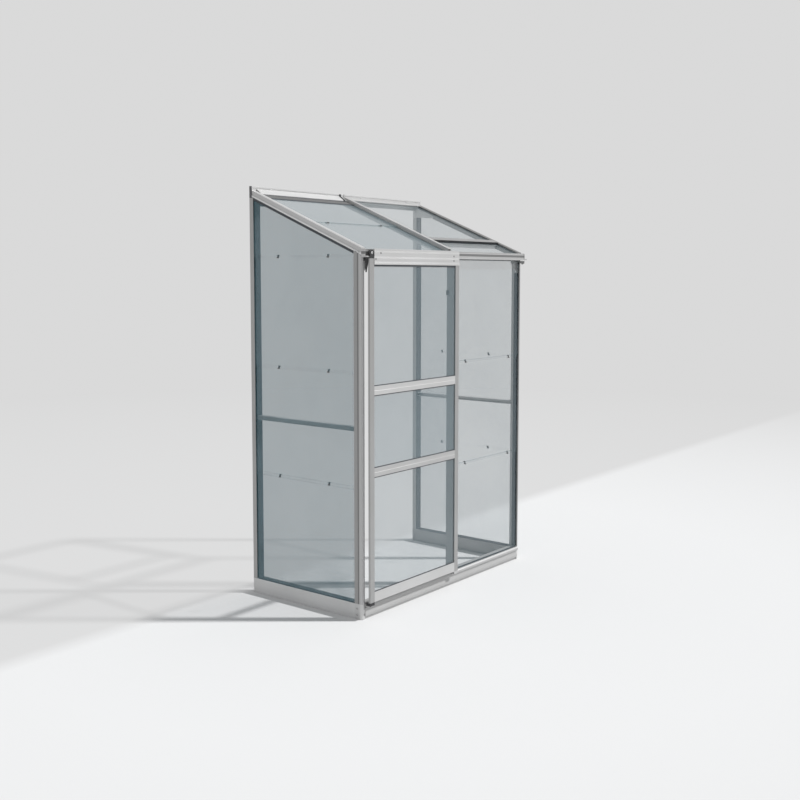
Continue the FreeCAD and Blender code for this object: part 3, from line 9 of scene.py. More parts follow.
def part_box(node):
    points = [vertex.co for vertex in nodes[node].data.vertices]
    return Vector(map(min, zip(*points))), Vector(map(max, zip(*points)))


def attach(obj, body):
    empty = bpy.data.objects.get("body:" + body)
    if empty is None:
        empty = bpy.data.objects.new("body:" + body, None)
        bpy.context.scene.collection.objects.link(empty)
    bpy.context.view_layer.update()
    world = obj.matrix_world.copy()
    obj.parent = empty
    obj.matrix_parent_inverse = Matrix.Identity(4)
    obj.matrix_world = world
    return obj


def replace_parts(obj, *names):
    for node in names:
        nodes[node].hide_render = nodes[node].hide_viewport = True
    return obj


bl_info = {
    "name": "Lean-to Greenhouse Finishes",
    "version": (1, 0, 0),
    "blender": (4, 5, 0),
    "location": "View3D > Sidebar > Greenhouse",
    "description": "Metal, glass, rubber and fasteners of a small lean-to greenhouse",
    "category": "Object",
}

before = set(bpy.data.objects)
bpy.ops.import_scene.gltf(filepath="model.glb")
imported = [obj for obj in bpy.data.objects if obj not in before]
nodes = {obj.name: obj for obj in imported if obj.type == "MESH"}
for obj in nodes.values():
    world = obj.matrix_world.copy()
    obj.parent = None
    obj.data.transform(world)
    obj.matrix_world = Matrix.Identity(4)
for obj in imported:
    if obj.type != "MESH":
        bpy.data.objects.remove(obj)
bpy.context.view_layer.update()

# The roof rises towards the wall. Its caps lie in a plane through the front edge at the eave.
PITCH = math.radians(22.5)
EAVE = Vector((0, -0.326, 1.656))
MM = 0.001

ACROSS = (1, 0, 0)
FORWARD = (0, 1, 0)
UPWARD = (0, -math.sin(PITCH), math.cos(PITCH))

# Bars: material, nodes, brightness, run of the die lines, roughness, metallic.
# The brightness is painted light and shade on one and the same aluminium: lower for bars in shade,
# such as the uprights, mullion, right sill and vent side rails, higher for bars that catch the light.
BARS = [
    ("aluminium_upright", ["wall_post_left", "wall_post_right", "door_stile_left", "door_stile_right"],
     0.7, "Z", 0.42, 0.85),
    ("aluminium_mullion", ["door_mullion"], 0.6, "Z", 0.42, 0.85),
    ("aluminium_crossbar", ["vent_sill", "eave_gussets", "door_rail_upper", "door_rail_bottom",
                            "vent_hinge_rail", "vent_stay"], 0.94, "X", 0.38, 0.55),
    ("aluminium_lower_rail", ["door_rail_lower"], 0.78, "X", 0.38, 0.55),
    ("aluminium_front_sill", ["sill_front"], 0.72, "X", 0.5, 0.4),
    ("aluminium_sill_left", ["sill_left"], 1.12, "Y", 0.45, 0.3),
    ("aluminium_sill_right", ["sill_right"], 0.6, "Y", 0.45, 0.7),
    ("aluminium_side", ["gable_rail_left", "gable_rail_right", "ridge_gussets"], 0.95, "Y", 0.38, 0.55),
    ("aluminium_roof_bar", ["roof_bar"], 0.98, "slope", 0.45, 0.6),
    ("aluminium_vent", ["vent_side_left", "vent_side_right"], 0.32, "slope", 0.4, 0.8),
    ("aluminium_corner", ["base_corner_left", "base_corner_right"], 1.05, "Z", 0.45, 0.55),
]
# Corner posts: side, brightness, tone of the front edge. The tone of the front edge is painted light:
# a painted highlight on the left post and a painted shade on the right one. The left post's lower
# brightness is painted shade too.
POSTS = [("left", 0.68, 1.6), ("right", 0.76, 0.5)]
POST_EDGE = ("Y", -0.3300, -0.3235)
# Bands of painted light on the corner posts: axis, low, high, tone. The first is painted shade in the
# groove on the side, the second a painted highlight on the rounded corner.
POST_PAINTED_LIGHT = [("Y", -0.3085, -0.3005, 0.6), ("Y", -0.3235, -0.3100, 1.3)]
# Painted shade along the middle of the gutter's front face: axis, low, high, tone
GUTTER_PAINTED_SHADE = ("Z", 1.6310, 1.6435, 0.4)
# Rafters: side, sign of x, brightness, roughness, metallic. The right rafter's lower brightness is
# painted shade.
RAFTERS = [("left", -1, 0.95, 0.45, 0.5), ("right", 1, 0.5, 0.4, 0.8)]
# Rivets that lie flush in the door's head plate: x and z of each, and where their edge fades
PLATE_RIVETS = [(-0.5704, 1.6360), (-0.6050, 1.6094), (-0.0155, 1.6284), (-0.0153, 1.6069)]
RIVET_EDGE = (0.0040, 0.0052)

# Panes: the way they face and how much body their glass has. The body differs from pane to pane as
# painted shade over what lies behind: most on the left gable and the door, least at the eave.
PANES = {
    "gable_panes_left": (ACROSS, 1.4), "gable_top_pane_left": (ACROSS, 1.4),
    "gable_panes_right": (ACROSS, 0.3), "gable_top_pane_right": (ACROSS, 0.3),
    "front_panes": (FORWARD, 0.5), "door_pane_top": (FORWARD, 1.1),
    "door_pane_middle": (FORWARD, 1.3), "door_pane_bottom": (FORWARD, 0.9),
    "roof_panes": (UPWARD, 1.0), "roof_pane_eave": (UPWARD, 0.0), "vent_pane": (UPWARD, 0.15),
}
LAPPED = ("gable", "front")
LAPS = [0.587, 1.1026, 1.6182]
LAP_HEIGHT = 0.014
LAP_SOFT = 0.0002
# Where two panes lap, each loses this share of its body
LAP_RELIEF = 0.45
# A pane holds back less light than view, by this share
SHADOW_RELIEF = 0.75

SEALS = ["glazing_seal_left", "glazing_seal_right", "glazing_seal_front", "glazing_seal_roof",
         "draught_seal", "door_seal"]
BLACK = (0.018, 0.018, 0.02)

# Rafter outlines in millimetres: inwards from the outer face, and up from the plane of the caps
HALF_WIDTH = 660
RAFTER = [(3.4, -26), (3.4, -16), (12, -16), (12, -26), (46, -26), (46, -10), (32, -10), (32, -1),
          (31, 1), (28, 2.2), (20, 3), (10, 3), (3.6, 1.8), (2, 0.4), (1.6, -2), (1.6, -15),
          (3.3, -16.6)]
RAFTER_LIP = [(0, -26), (3.3, -26), (3.3, -18.6), (2.2, -18.6), (0, -21)]
RAFTER_SEAL = [(1.0, -38.0), (2.8, -38.0), (2.8, -26.1), (1.0, -26.1)]
RAFTER_SEAL_ENDS = (-0.281, 0.339)

# Ridge outlines in metres. The face with its groove: inwards from the front, and down from the top
RIDGE_FACE = [(0.002, 0), (0, 0.0014), (0, 0.0070), (0.0026, 0.0082), (0.0026, 0.0106), (0, 0.0118)]
RIDGE_CAP = 0.0012
# Apron and joint cover: out from the front, and height above the ground
APRON = [(0, 1.9455), (0.0285, 1.9252), (0.0300, 1.9236), (0.0300, 1.9185), (0.0286, 1.9190),
         (0.0286, 1.9228), (0, 1.9438)]
APRON_ENDS = (-0.6278, -0.0125)
JOINT_COVER = [(0, 1.9563), (0.0015, 1.9563), (0.0015, 1.9462), (0.0290, 1.9268), (0.0318, 1.9240),
               (0.0318, 1.9188), (0.0301, 1.9188), (0.0301, 1.9237), (0.0286, 1.9254), (0, 1.9456)]
JOINT_COVER_ENDS = (-0.0375, -0.0245)
# Strips on the glass below the apron, in millimetres: near and far edge, and top
STRIPS = [("ridge_bead", 30.2, 34.0, -2.6), ("ridge_cover", 34.1, 74.0, -4.2),
          ("ridge_wiper", 74.1, 79.0, -3.0)]
STRIP_FOOT = -5.8
STRIP_ENDS = (-0.6265, -0.0135)

# Side of a domed head: radius and height as shares of the whole
BUTTON = [(1.0, 0.0), (1.0, 0.18), (0.97, 0.4), (0.86, 0.68), (0.68, 0.88), (0.5, 1.0)]
HEAD_SIDES = 24
# Bolts of more than this radius are large, and those below this height face outwards
LARGE_BOLT = 0.0053
LOW_BOLT = 0.1
# Other fasteners: radius and height of the head
WHEEL_RIVET = (0.006, 0.0018)
RIDGE_SCREW = (0.004, 0.0016)
# Ridge screws: shares of each length, and how far below its top
RIDGE_SCREW_PLACES = (0.2, 0.8)
RIDGE_SCREW_DROP = 0.0125

# Floor: radius, how far below the object's foot, and where it fades into the backdrop
FLOOR_RADIUS = 60.0
FLOOR_DROP = 0.0006
FADE = (2.0, 9.0)
FADE_BEHIND = (0.37, 0.5)


# Shader sums and node trees

class Value:
    """A shader value that can be added, subtracted, multiplied and raised to a power."""

    def __init__(self, shading, link):
        self.shading = shading
        self.link = link

    def combine(self, operation, first, second):
        return self.shading.get("ShaderNodeMath", {"operation": operation}, {0: first, 1: second})

    def __add__(self, other):
        return self.combine("ADD", self, other)

    def __mul__(self, other):
        return self.combine("MULTIPLY", self, other)

    def __sub__(self, other):
        return self.combine("SUBTRACT", self, other)

    def __rsub__(self, other):
        return self.combine("SUBTRACT", other, self)

    def __pow__(self, other):
        return self.combine("POWER", self, other)

    __radd__ = __add__
    __rmul__ = __mul__


class Shading:
    """An emptied node tree that shader nodes are added to."""

    def __init__(self, tree):
        self.tree = tree
        tree.nodes.clear()

    def node(self, kind, settings, sockets):
        made = self.tree.nodes.new(kind)
        for name, value in settings.items():
            setattr(made, name, value)
        for key, value in sockets.items():
            if isinstance(value, Value):
                self.tree.links.new(value.link, made.inputs[key])
            else:
                made.inputs[key].default_value = value
        return made

    def get(self, kind, settings, sockets, output=0):
        return Value(self, self.node(kind, settings, sockets).outputs[output])


class Finish(Shading):
    """A material and the nodes that make its look."""

    def __init__(self, name):
        self.material = bpy.data.materials.new(name)
        self.material.use_nodes = True
        super().__init__(self.material.node_tree)

    def place(self, output="Object"):
        return self.get("ShaderNodeTexCoord", {}, {}, output)

    def along(self, axis):
        """Object coordinate on one axis."""
        return self.get("ShaderNodeSeparateXYZ", {}, {"Vector": self.place()}, axis)

    def facing(self, direction):
        """How squarely the surface faces a direction, from -1 to 1."""
        return self.get("ShaderNodeVectorMath", {"operation": "DOT_PRODUCT"}, {
            0: self.place("Normal"), 1: direction}, "Value")

    def noise(self, where, scale, detail=3.0, roughness=0.5):
        return self.get("ShaderNodeTexNoise", {}, {
            "Vector": where, "Scale": scale, "Detail": detail, "Roughness": roughness}, "Fac")

    def stretch(self, where, scale):
        return self.get("ShaderNodeMapping", {}, {"Vector": where, "Scale": scale})

    def span(self, value, low, high, start=0.0, end=1.0):
        """Value from low to high spread over start to end, and held beyond."""
        return self.get("ShaderNodeMapRange", {"clamp": True}, {
            "Value": value, "From Min": low, "From Max": high, "To Min": start, "To Max": end})

    def between(self, value, low, high, soft):
        """1 from low to high and 0 beyond, with soft steps inside both ends."""
        return self.span(value, low, low + soft) * (1.0 - self.span(value, high - soft, high))

    def blend(self, share, first, second):
        """Colour between first and second."""
        made = self.node("ShaderNodeMix", {"data_type": "RGBA"}, {0: share, 6: first, 7: second})
        return Value(self, made.outputs[2])

    def bump(self, height, strength, distance):
        return self.get("ShaderNodeBump", {}, {
            "Height": height, "Strength": strength, "Distance": distance}, "Normal")

    def surface(self, **sockets):
        self.show(self.get("ShaderNodeBsdfPrincipled", {}, {
            key.replace("_", " "): value for key, value in sockets.items()}, "BSDF"))
        return self.material

    def show(self, shader):
        self.node("ShaderNodeOutputMaterial", {}, {"Surface": shader})


def tone(value, tint=(1.0, 1.0, 1.0)):
    return (value * tint[0], value * tint[1], value * tint[2], 1.0)


def wear(node_names, material):
    """Gives every slot of these nodes the material."""
    for name in node_names:
        for slot in nodes[name].material_slots:
            slot.material = material


def extruded_aluminium(name, brightness, run, roughness, metallic, painted_bands=(), rivets=()):
    """Anodised profile with fine die lines along its run, bands (axis, low, high, tone) of painted
    shade and painted highlight, and dark rivets (x, z) that lie flush in a face."""
    finish = Finish(name)
    where = finish.place()
    if run == "slope":
        where = finish.get("ShaderNodeVectorRotate", {"rotation_type": "X_AXIS"}, {
            "Vector": where, "Angle": -PITCH})
        run = "Y"
    across = {"X": (2, 900, 900), "Y": (900, 2, 900), "Z": (900, 900, 2)}[run]
    lines = finish.noise(finish.stretch(where, across), 1.0, 2.0)
    patches = finish.noise(where, 5.0, 4.0, 0.6)
    shade = finish.span(lines * 0.45 + patches * 0.55, 0.3, 0.7)
    color = finish.blend(shade, tone(brightness * 0.93, (1.0, 0.995, 0.985)), tone(brightness * 1.05))
    # Painted shade where the tone is below 1, painted highlight where it is above
    for axis, low, high, dark in painted_bands:
        inside = finish.between(finish.along(axis), low, high, 0.0008)
        color = finish.blend(inside, color, tone(brightness * dark))
    for x, z in rivets:
        flat = finish.stretch(finish.place(), (1, 0, 1))
        away = finish.get("ShaderNodeVectorMath", {"operation": "DISTANCE"}, {
            0: flat, 1: (x, 0, z)}, "Value")
        color = finish.blend(1.0 - finish.span(away, *RIVET_EDGE), color, tone(0.16))
    return finish.surface(Base_Color=color, Metallic=metallic,
                          Roughness=finish.span(lines, 0.3, 0.7, roughness - 0.05, roughness + 0.07),
                          Normal=finish.bump(lines, 0.12, 0.0002))


def pane_glass(name, normal, tint, body, laps):
    """Clear float glass with ground edges. Where panes lap, each takes less of the view.
    It holds back less of the light that falls through it than of the view."""
    finish = Finish(name)
    facing = finish.facing(normal)
    edge = 1.0 - finish.span(facing * facing, 0.25, 0.5)
    slant = finish.get("ShaderNodeLayerWeight", {}, {"Blend": 0.5}, "Facing")
    dust = finish.span(finish.noise(finish.place(), 2.6, 5.0, 0.65), 0.42, 0.75)
    single = 1.0
    for lap in laps:
        lapped = finish.between(finish.along("Z"), lap - LAP_SOFT, lap + LAP_HEIGHT + LAP_SOFT, LAP_SOFT)
        single = single - lapped * LAP_RELIEF
    alpha = (slant ** 4.0) * 0.4 + dust * 0.03 + edge * 0.12 + single * body
    lit = finish.get("ShaderNodeLightPath", {}, {}, "Is Shadow Ray")
    alpha = alpha * (1.0 - lit * SHADOW_RELIEF)
    return finish.surface(
        Base_Color=finish.blend(edge, tint, (0.3, 0.42, 0.42, 1.0)),
        Roughness=finish.span(dust, 0.0, 1.0, 0.03, 0.09), Specular_IOR_Level=0.9,
        Alpha=finish.span(alpha, 0.0, 1.0))


def rubber(name, color):
    """Matt extruded rubber with a chalky bloom."""
    finish = Finish(name)
    bloom = finish.span(finish.noise(finish.place(), 30.0, 5.0, 0.7), 0.35, 0.75)
    grain = finish.noise(finish.place(), 900.0, 2.0)
    return finish.surface(
        Base_Color=finish.blend(bloom, tone(1.0, color), tone(1.35, color)),
        Roughness=finish.span(bloom, 0.0, 1.0, 0.55, 0.75), Normal=finish.bump(grain, 0.15, 0.0002))


def moulded_plastic(name, color, roughness, light_from=None):
    """Grained plastic. Pieces to the right of light_from are light grey."""
    finish = Finish(name)
    grain = finish.noise(finish.place(), 700.0, 2.0)
    patches = finish.noise(finish.place(), 25.0, 3.0)
    mixed = finish.blend(patches, tone(1.0, color), tone(1.3, color))
    if light_from is not None:
        right = finish.span(finish.along("X"), light_from, light_from + 0.01)
        mixed = finish.blend(right, mixed, tone(0.4))
    return finish.surface(
        Base_Color=mixed, Roughness=finish.span(grain, 0.3, 0.7, roughness - 0.06, roughness + 0.08),
        Normal=finish.bump(grain, 0.2, 0.0003))


def zinc_steel(name, brightness):
    """Bright zinc plate with its faint, cloudy crystals."""
    finish = Finish(name)
    crystals = finish.get("ShaderNodeTexVoronoi", {"feature": "F1"}, {
        "Vector": finish.place(), "Scale": 350.0}, "Distance")
    clouds = finish.noise(finish.place(), 60.0, 3.0)
    shade = finish.span(crystals * 0.5 + clouds * 0.5, 0.2, 0.7)
    return finish.surface(
        Base_Color=finish.blend(shade, tone(brightness * 0.8), tone(brightness * 1.1)),
        Metallic=0.9, Roughness=finish.span(clouds, 0.3, 0.7, 0.28, 0.45))


def painted_shade_coat(name, color, top):
    """Black with a fine orange-peel skin, as painted shade, and a lighter, more metallic face towards
    the sky as a painted highlight.
    """
    finish = Finish(name)
    lit_top = finish.span(finish.facing(UPWARD), 0.9, 0.95)
    peel = finish.noise(finish.place(), 600.0, 2.0)
    patches = finish.noise(finish.place(), 8.0, 3.0)
    shade_black = finish.blend(patches, tone(1.0, color), tone(1.5, color))
    return finish.surface(
        Base_Color=finish.blend(lit_top, shade_black, tone(top)), Metallic=lit_top * 0.6,
        Roughness=finish.span(patches, 0.3, 0.7, 0.45, 0.55), Normal=finish.bump(peel, 0.2, 0.0003))


# Extruded bars

def roof_line(y, rise):
    """Height of a line that lies this far off the plane of the roof's caps."""
    return EAVE.z + (y - EAVE.y) * math.tan(PITCH) + rise / math.cos(PITCH)


def straight_bar(name, first, second, material):
    """Bar between two outlines with as many corners."""
    count = len(first)
    faces = [tuple(range(count))[::-1], tuple(range(count, 2 * count))]
    for index in range(count):
        following = (index + 1) % count
        faces.append((index, following, count + following, count + index))
    mesh = bpy.data.meshes.new(name)
    mesh.from_pydata(first + second, [], faces)
    work = bmesh.new()
    work.from_mesh(mesh)
    bmesh.ops.recalc_face_normals(work, faces=work.faces)
    work.to_mesh(mesh)
    work.free()
    mesh.materials.append(material)
    made = bpy.data.objects.new(name, mesh)
    bpy.context.scene.collection.objects.link(made)
    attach(made, "frame")
    return made


def sloping_bar(name, sign, outline, ends, material):
    """Bar up the roof beside a gable, cut plumb at both ends. Its outline is (inward, rise)."""
    rings = []
    for y in ends:
        rings.append([(sign * (HALF_WIDTH - inward) * MM, y, roof_line(y, rise * MM))
                      for inward, rise in outline])
    return straight_bar(name, rings[0], rings[1], material)


def level_bar(name, outline, ends, material):
    """Bar along the ridge. Its outline is (y, z)."""
    rings = [[(x, y, z) for y, z in outline] for x in ends]
    return straight_bar(name, rings[0], rings[1], material)


# Fasteners

def islands(node_name):
    """Boxes of the separate solids in a CAD node, as (centre, size) pairs."""
    work = bmesh.new()
    work.from_mesh(nodes[node_name].data)
    bmesh.ops.remove_doubles(work, verts=work.verts, dist=1e-5)
    left = set(work.verts)
    boxes = []
    while left:
        reached = [left.pop()]
        corners = []
        while reached:
            vertex = reached.pop()
            corners.append(vertex.co.copy())
            for edge in vertex.link_edges:
                other = edge.other_vert(vertex)
                if other in left:
                    left.remove(other)
                    reached.append(other)
        low = Vector(map(min, *corners))
        high = Vector(map(max, *corners))
        boxes.append(((low + high) / 2, high - low))
    work.free()
    return sorted(boxes, key=lambda box: tuple(box[0]))


def polygon_point(index, corners, radius):
    """Point of a regular polygon whose outline is divided into as many steps as the head has sides."""
    step = HEAD_SIDES // corners
    corner = index // step
    share = (index % step) / step
    first = 2 * math.pi * corner / corners
    second = 2 * math.pi * (corner + 1) / corners
    return (radius * ((1 - share) * math.cos(first) + share * math.cos(second)),
            radius * ((1 - share) * math.sin(first) + share * math.sin(second)))


def domed_head(name, corners, radius, depth):
    """Screw head of radius 1 and height 1 along +Z, with a recess of this many corners."""
    sections = [(HEAD_SIDES, share, height) for share, height in BUTTON]
    sections += [(corners, radius, height) for height in (1.0, 1.0 - depth)]
    work = bmesh.new()
    rings = []
    for sides, share, height in sections:
        places = [polygon_point(index, sides, share) for index in range(HEAD_SIDES)]
        rings.append([work.verts.new((x, y, height)) for x, y in places])
    for lower, upper in zip(rings, rings[1:]):
        for index in range(HEAD_SIDES):
            following = (index + 1) % HEAD_SIDES
            work.faces.new((lower[index], lower[following], upper[following], upper[index]))
    work.faces.new(rings[0][::-1])
    work.faces.new(rings[-1])
    bmesh.ops.recalc_face_normals(work, faces=work.faces)
    mesh = bpy.data.meshes.new(name)
    work.to_mesh(mesh)
    work.free()
    for polygon in mesh.polygons:
        polygon.use_smooth = abs(polygon.normal.z) < 0.99
    return bpy.data.objects.new(name, mesh)


def head_scatter():
    """Node tree that sets a screw head on every point, along the point's own direction."""
    tree = bpy.data.node_groups.new("Fastener heads", "GeometryNodeTree")
    for name, kind in (("Geometry", "Geometry"), ("Head", "Object"), ("Radius", "Float"),
                       ("Height", "Float"), ("Finish", "Material")):
        tree.interface.new_socket(name, in_out="INPUT", socket_type=f"NodeSocket{kind}")
    tree.interface.new_socket("Geometry", in_out="OUTPUT", socket_type="NodeSocketGeometry")
    start = tree.nodes.new("NodeGroupInput")
    end = tree.nodes.new("NodeGroupOutput")
    direction = tree.nodes.new("GeometryNodeInputNamedAttribute")
    direction.data_type = "FLOAT_VECTOR"
    direction.inputs["Name"].default_value = "direction"
    turn = tree.nodes.new("FunctionNodeAlignRotationToVector")
    turn.axis = "Z"
    scale = tree.nodes.new("ShaderNodeCombineXYZ")
    head = tree.nodes.new("GeometryNodeObjectInfo")
    spread = tree.nodes.new("GeometryNodeInstanceOnPoints")
    realize = tree.nodes.new("GeometryNodeRealizeInstances")
    paint = tree.nodes.new("GeometryNodeSetMaterial")
    for source, target in (
            (start.outputs["Geometry"], spread.inputs["Points"]),
            (start.outputs["Head"], head.inputs["Object"]),
            (head.outputs["Geometry"], spread.inputs["Instance"]),
            (direction.outputs["Attribute"], turn.inputs["Vector"]),
            (turn.outputs["Rotation"], spread.inputs["Rotation"]),
            (start.outputs["Radius"], scale.inputs["X"]),
            (start.outputs["Radius"], scale.inputs["Y"]),
            (start.outputs["Height"], scale.inputs["Z"]),
            (scale.outputs["Vector"], spread.inputs["Scale"]),
            (spread.outputs["Instances"], realize.inputs["Geometry"]),
            (realize.outputs["Geometry"], paint.inputs["Geometry"]),
            (start.outputs["Finish"], paint.inputs["Material"]),
            (paint.outputs["Geometry"], end.inputs["Geometry"])):
        tree.links.new(source, target)
    return tree


def set_heads(name, body, spots, head, radius, height, material):
    """One mesh of like steel heads. Spots are (foot of the head, direction it faces)."""
    mesh = bpy.data.meshes.new(f"{name}_spots")
    mesh.from_pydata([foot for foot, direction in spots], [], [])
    attribute = mesh.attributes.new("direction", "FLOAT_VECTOR", "POINT")
    for index, (foot, direction) in enumerate(spots):
        attribute.data[index].vector = direction
    points = bpy.data.objects.new(f"{name}_points", mesh)
    bpy.context.scene.collection.objects.link(points)
    tree = bpy.data.node_groups.get("Fastener heads") or head_scatter()
    modifier = points.modifiers.new("Heads", "NODES")
    modifier.node_group = tree
    values = {"Head": head, "Radius": radius, "Height": height, "Finish": material}
    for item in tree.interface.items_tree:
        if item.in_out == "INPUT" and item.name in values:
            modifier[item.identifier] = values[item.name]
    bpy.context.view_layer.update()
    evaluated = points.evaluated_get(bpy.context.evaluated_depsgraph_get())
    made = bpy.data.objects.new(name, bpy.data.meshes.new_from_object(evaluated))
    bpy.context.scene.collection.objects.link(made)
    bpy.data.objects.remove(points)
    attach(made, body)
    return made


# Stage

def fading_floor(stage):
    """Floor that fades into the backdrop far away, and at the foot of the wall behind the house."""
    finish = Finish("stage_floor")
    distance = finish.get("ShaderNodeVectorMath", {"operation": "LENGTH"}, {0: finish.place()}, "Value")
    behind = finish.span(finish.along("Y"), *FADE_BEHIND, 0.0, 0.8)
    reach = finish.span(distance, *FADE)
    far = reach + behind * (1.0 - reach)
    ground = finish.get("ShaderNodeBsdfDiffuse", {}, {"Color": tone(stage.floor)})
    glow = finish.get("ShaderNodeEmission", {}, {"Color": tone(stage.backdrop)})
    finish.show(finish.get("ShaderNodeMixShader", {}, {0: far, 1: ground, 2: glow}))

    work = bmesh.new()
    bmesh.ops.create_circle(work, cap_ends=True, segments=96, radius=FLOOR_RADIUS)
    mesh = bpy.data.meshes.new("floor")
    work.to_mesh(mesh)
    work.free()
    mesh.transform(Matrix.Translation((0, 0, -FLOOR_DROP)))
    mesh.materials.append(finish.material)
    return bpy.data.objects.new("floor", mesh)


def studio_world(stage):
    """Soft light from all round that looks like the backdrop, also in metal and glass."""
    world = bpy.data.worlds.new("studio")
    world.use_nodes = True
    shading = Shading(world.node_tree)
    path = shading.node("ShaderNodeLightPath", {}, {})
    seen = Value(shading, path.outputs["Is Camera Ray"])
    for name in ("Is Glossy Ray", "Is Transmission Ray"):
        seen = shading.get("ShaderNodeMath", {"operation": "MAXIMUM"}, {
            0: seen, 1: Value(shading, path.outputs[name])})
    light = shading.get("ShaderNodeBackground", {}, {
        "Color": tone(1.0, (0.96, 0.98, 1.0)), "Strength": stage.sky})
    shown = shading.get("ShaderNodeBackground", {}, {"Color": tone(stage.backdrop)})
    choice = shading.get("ShaderNodeMixShader", {}, {0: seen, 1: light, 2: shown})
    shading.node("ShaderNodeOutputWorld", {}, {"Surface": choice})
    return world


def sunlight(strength):
    """Sun from the front right, high enough to throw the shadow to the left."""
    sun = bpy.data.objects.new("sun", bpy.data.lights.new("sun", "SUN"))
    sun.data.energy = strength
    sun.data.angle = math.radians(3.0)
    towards_sun = Vector((0.450, -0.565, 0.691))
    sun.rotation_mode = "QUATERNION"
    sun.rotation_quaternion = towards_sun.to_track_quat("Z", "Y")
    return sun


def viewpoint():
    """Camera at the front left, a little below the eave."""
    camera = bpy.data.objects.new("camera", bpy.data.cameras.new("camera"))
    camera.data.lens = 47.05
    camera.data.sensor_width = 36.0
    camera.data.shift_x = 0.0085
    camera.data.shift_y = -0.0413
    camera.location = (-4.1454, -3.2713, 1.5394)
    camera.rotation_euler = (math.radians(90 - 5.019), 0, math.radians(-51.547))
    return camera


# What a user would change

class GreenhouseLooks(bpy.types.PropertyGroup):
    """Tones of the house's finishes."""

    metal: FloatProperty(
        name="Metal", description="Brightness of the anodised profiles",
        default=0.58, min=0.1, max=1.0, subtype="FACTOR")
    glass: FloatVectorProperty(
        name="Glass", description="Colour that the panes lay over what is behind",
        default=(0.155, 0.21, 0.235), subtype="COLOR", min=0.0, max=1.0)
    # The gables' darker tint is painted shade over what lies behind them
    gable_glass: FloatVectorProperty(
        name="Gable glass", description="The same for the panes in shade",
        default=(0.10, 0.205, 0.245), subtype="COLOR", min=0.0, max=1.0)
    body: FloatProperty(
        name="Glass body", description="How much of the view each face of a pane takes away",
        default=0.25, min=0.0, max=1.0, subtype="FACTOR")
    rubber: FloatVectorProperty(
        name="Rubber", description="Colour of the glazing seals",
        default=(0.045, 0.05, 0.057), subtype="COLOR", min=0.0, max=1.0)


class GreenhouseStage(bpy.types.PropertyGroup):
    """Floor, backdrop and light around the house."""

    floor: FloatProperty(
        name="Floor", description="Brightness of the floor",
        default=0.7, min=0.0, max=1.0, subtype="FACTOR")
    backdrop: FloatProperty(
        name="Backdrop", description="Brightness of the backdrop",
        default=0.7, min=0.0, max=1.0, subtype="FACTOR")
    sun: FloatProperty(name="Sun", description="Strength of the sun", default=3.6, min=0.0)
    sky: FloatProperty(
        name="Sky", description="Strength of the light from all round", default=0.5, min=0.0)


# One operator for each group of like pieces, and one for the stage

class GREENHOUSE_OT_metalwork(bpy.types.Operator):
    """Finish the posts, bars, sills and gutter"""
    bl_idname = "greenhouse.metalwork"
    bl_label = "Metalwork"

    def execute(self, context):
        metal = context.scene.greenhouse_looks.metal
        for name, node_names, share, run, roughness, metallic in BARS:
            wear(node_names, extruded_aluminium(name, metal * share, run, roughness, metallic))
        # Each post gets painted shade in its groove, a painted highlight on its corner and a painted
        # front edge
        for side, share, front in POSTS:
            painted_bands = POST_PAINTED_LIGHT + [POST_EDGE + (front,)]
            wear([f"corner_post_{side}"], extruded_aluminium(
                f"aluminium_post_{side}", metal * share, "Z", 0.62, 0.7, painted_bands))
        wear(["gutter", "gutter_caps"], extruded_aluminium(
            "aluminium_gutter", metal * 0.9, "X", 0.4, 0.6, [GUTTER_PAINTED_SHADE]))
        wear(["door_top_plate"], extruded_aluminium(
            "aluminium_head_plate", metal * 0.94, "X", 0.38, 0.55, rivets=PLATE_RIVETS))
        # The vent's bottom rail: painted shade in black, with a painted highlight on its top face
        wear(["vent_bottom_rail"], painted_shade_coat("painted_shade_black", (0.014, 0.015, 0.017), metal * 0.55))
        wear(["lap_clips"], zinc_steel("clip_steel", 0.16))
        return {"FINISHED"}


class GREENHOUSE_OT_rafters(bpy.types.Operator):
    """Make the rafters with their lips, brightened as a painted highlight, and the seals under them"""
    bl_idname = "greenhouse.rafters"
    bl_label = "Rafters"

    def execute(self, context):
        looks = context.scene.greenhouse_looks
        black = rubber("rafter_rubber", looks.rubber)
        # The lips are brighter than the rafters: a painted highlight along their lower edge
        lip_highlight = extruded_aluminium("aluminium_lip_highlight", looks.metal * 1.35, "slope", 0.35, 0.2)
        low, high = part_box("rafter_left")
        ends = (low.y, high.y)
        for side, sign, share, roughness, metallic in RAFTERS:
            metal = extruded_aluminium(
                f"aluminium_rafter_{side}", looks.metal * share, "slope", roughness, metallic)
            bar = sloping_bar(f"rafter_{side}_bar", sign, RAFTER, ends, metal)
            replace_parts(bar, f"rafter_{side}")
            sloping_bar(f"rafter_lip_{side}", sign, RAFTER_LIP, ends, lip_highlight)
            sloping_bar(f"rafter_seal_{side}", sign, RAFTER_SEAL, RAFTER_SEAL_ENDS, black)
        return {"FINISHED"}


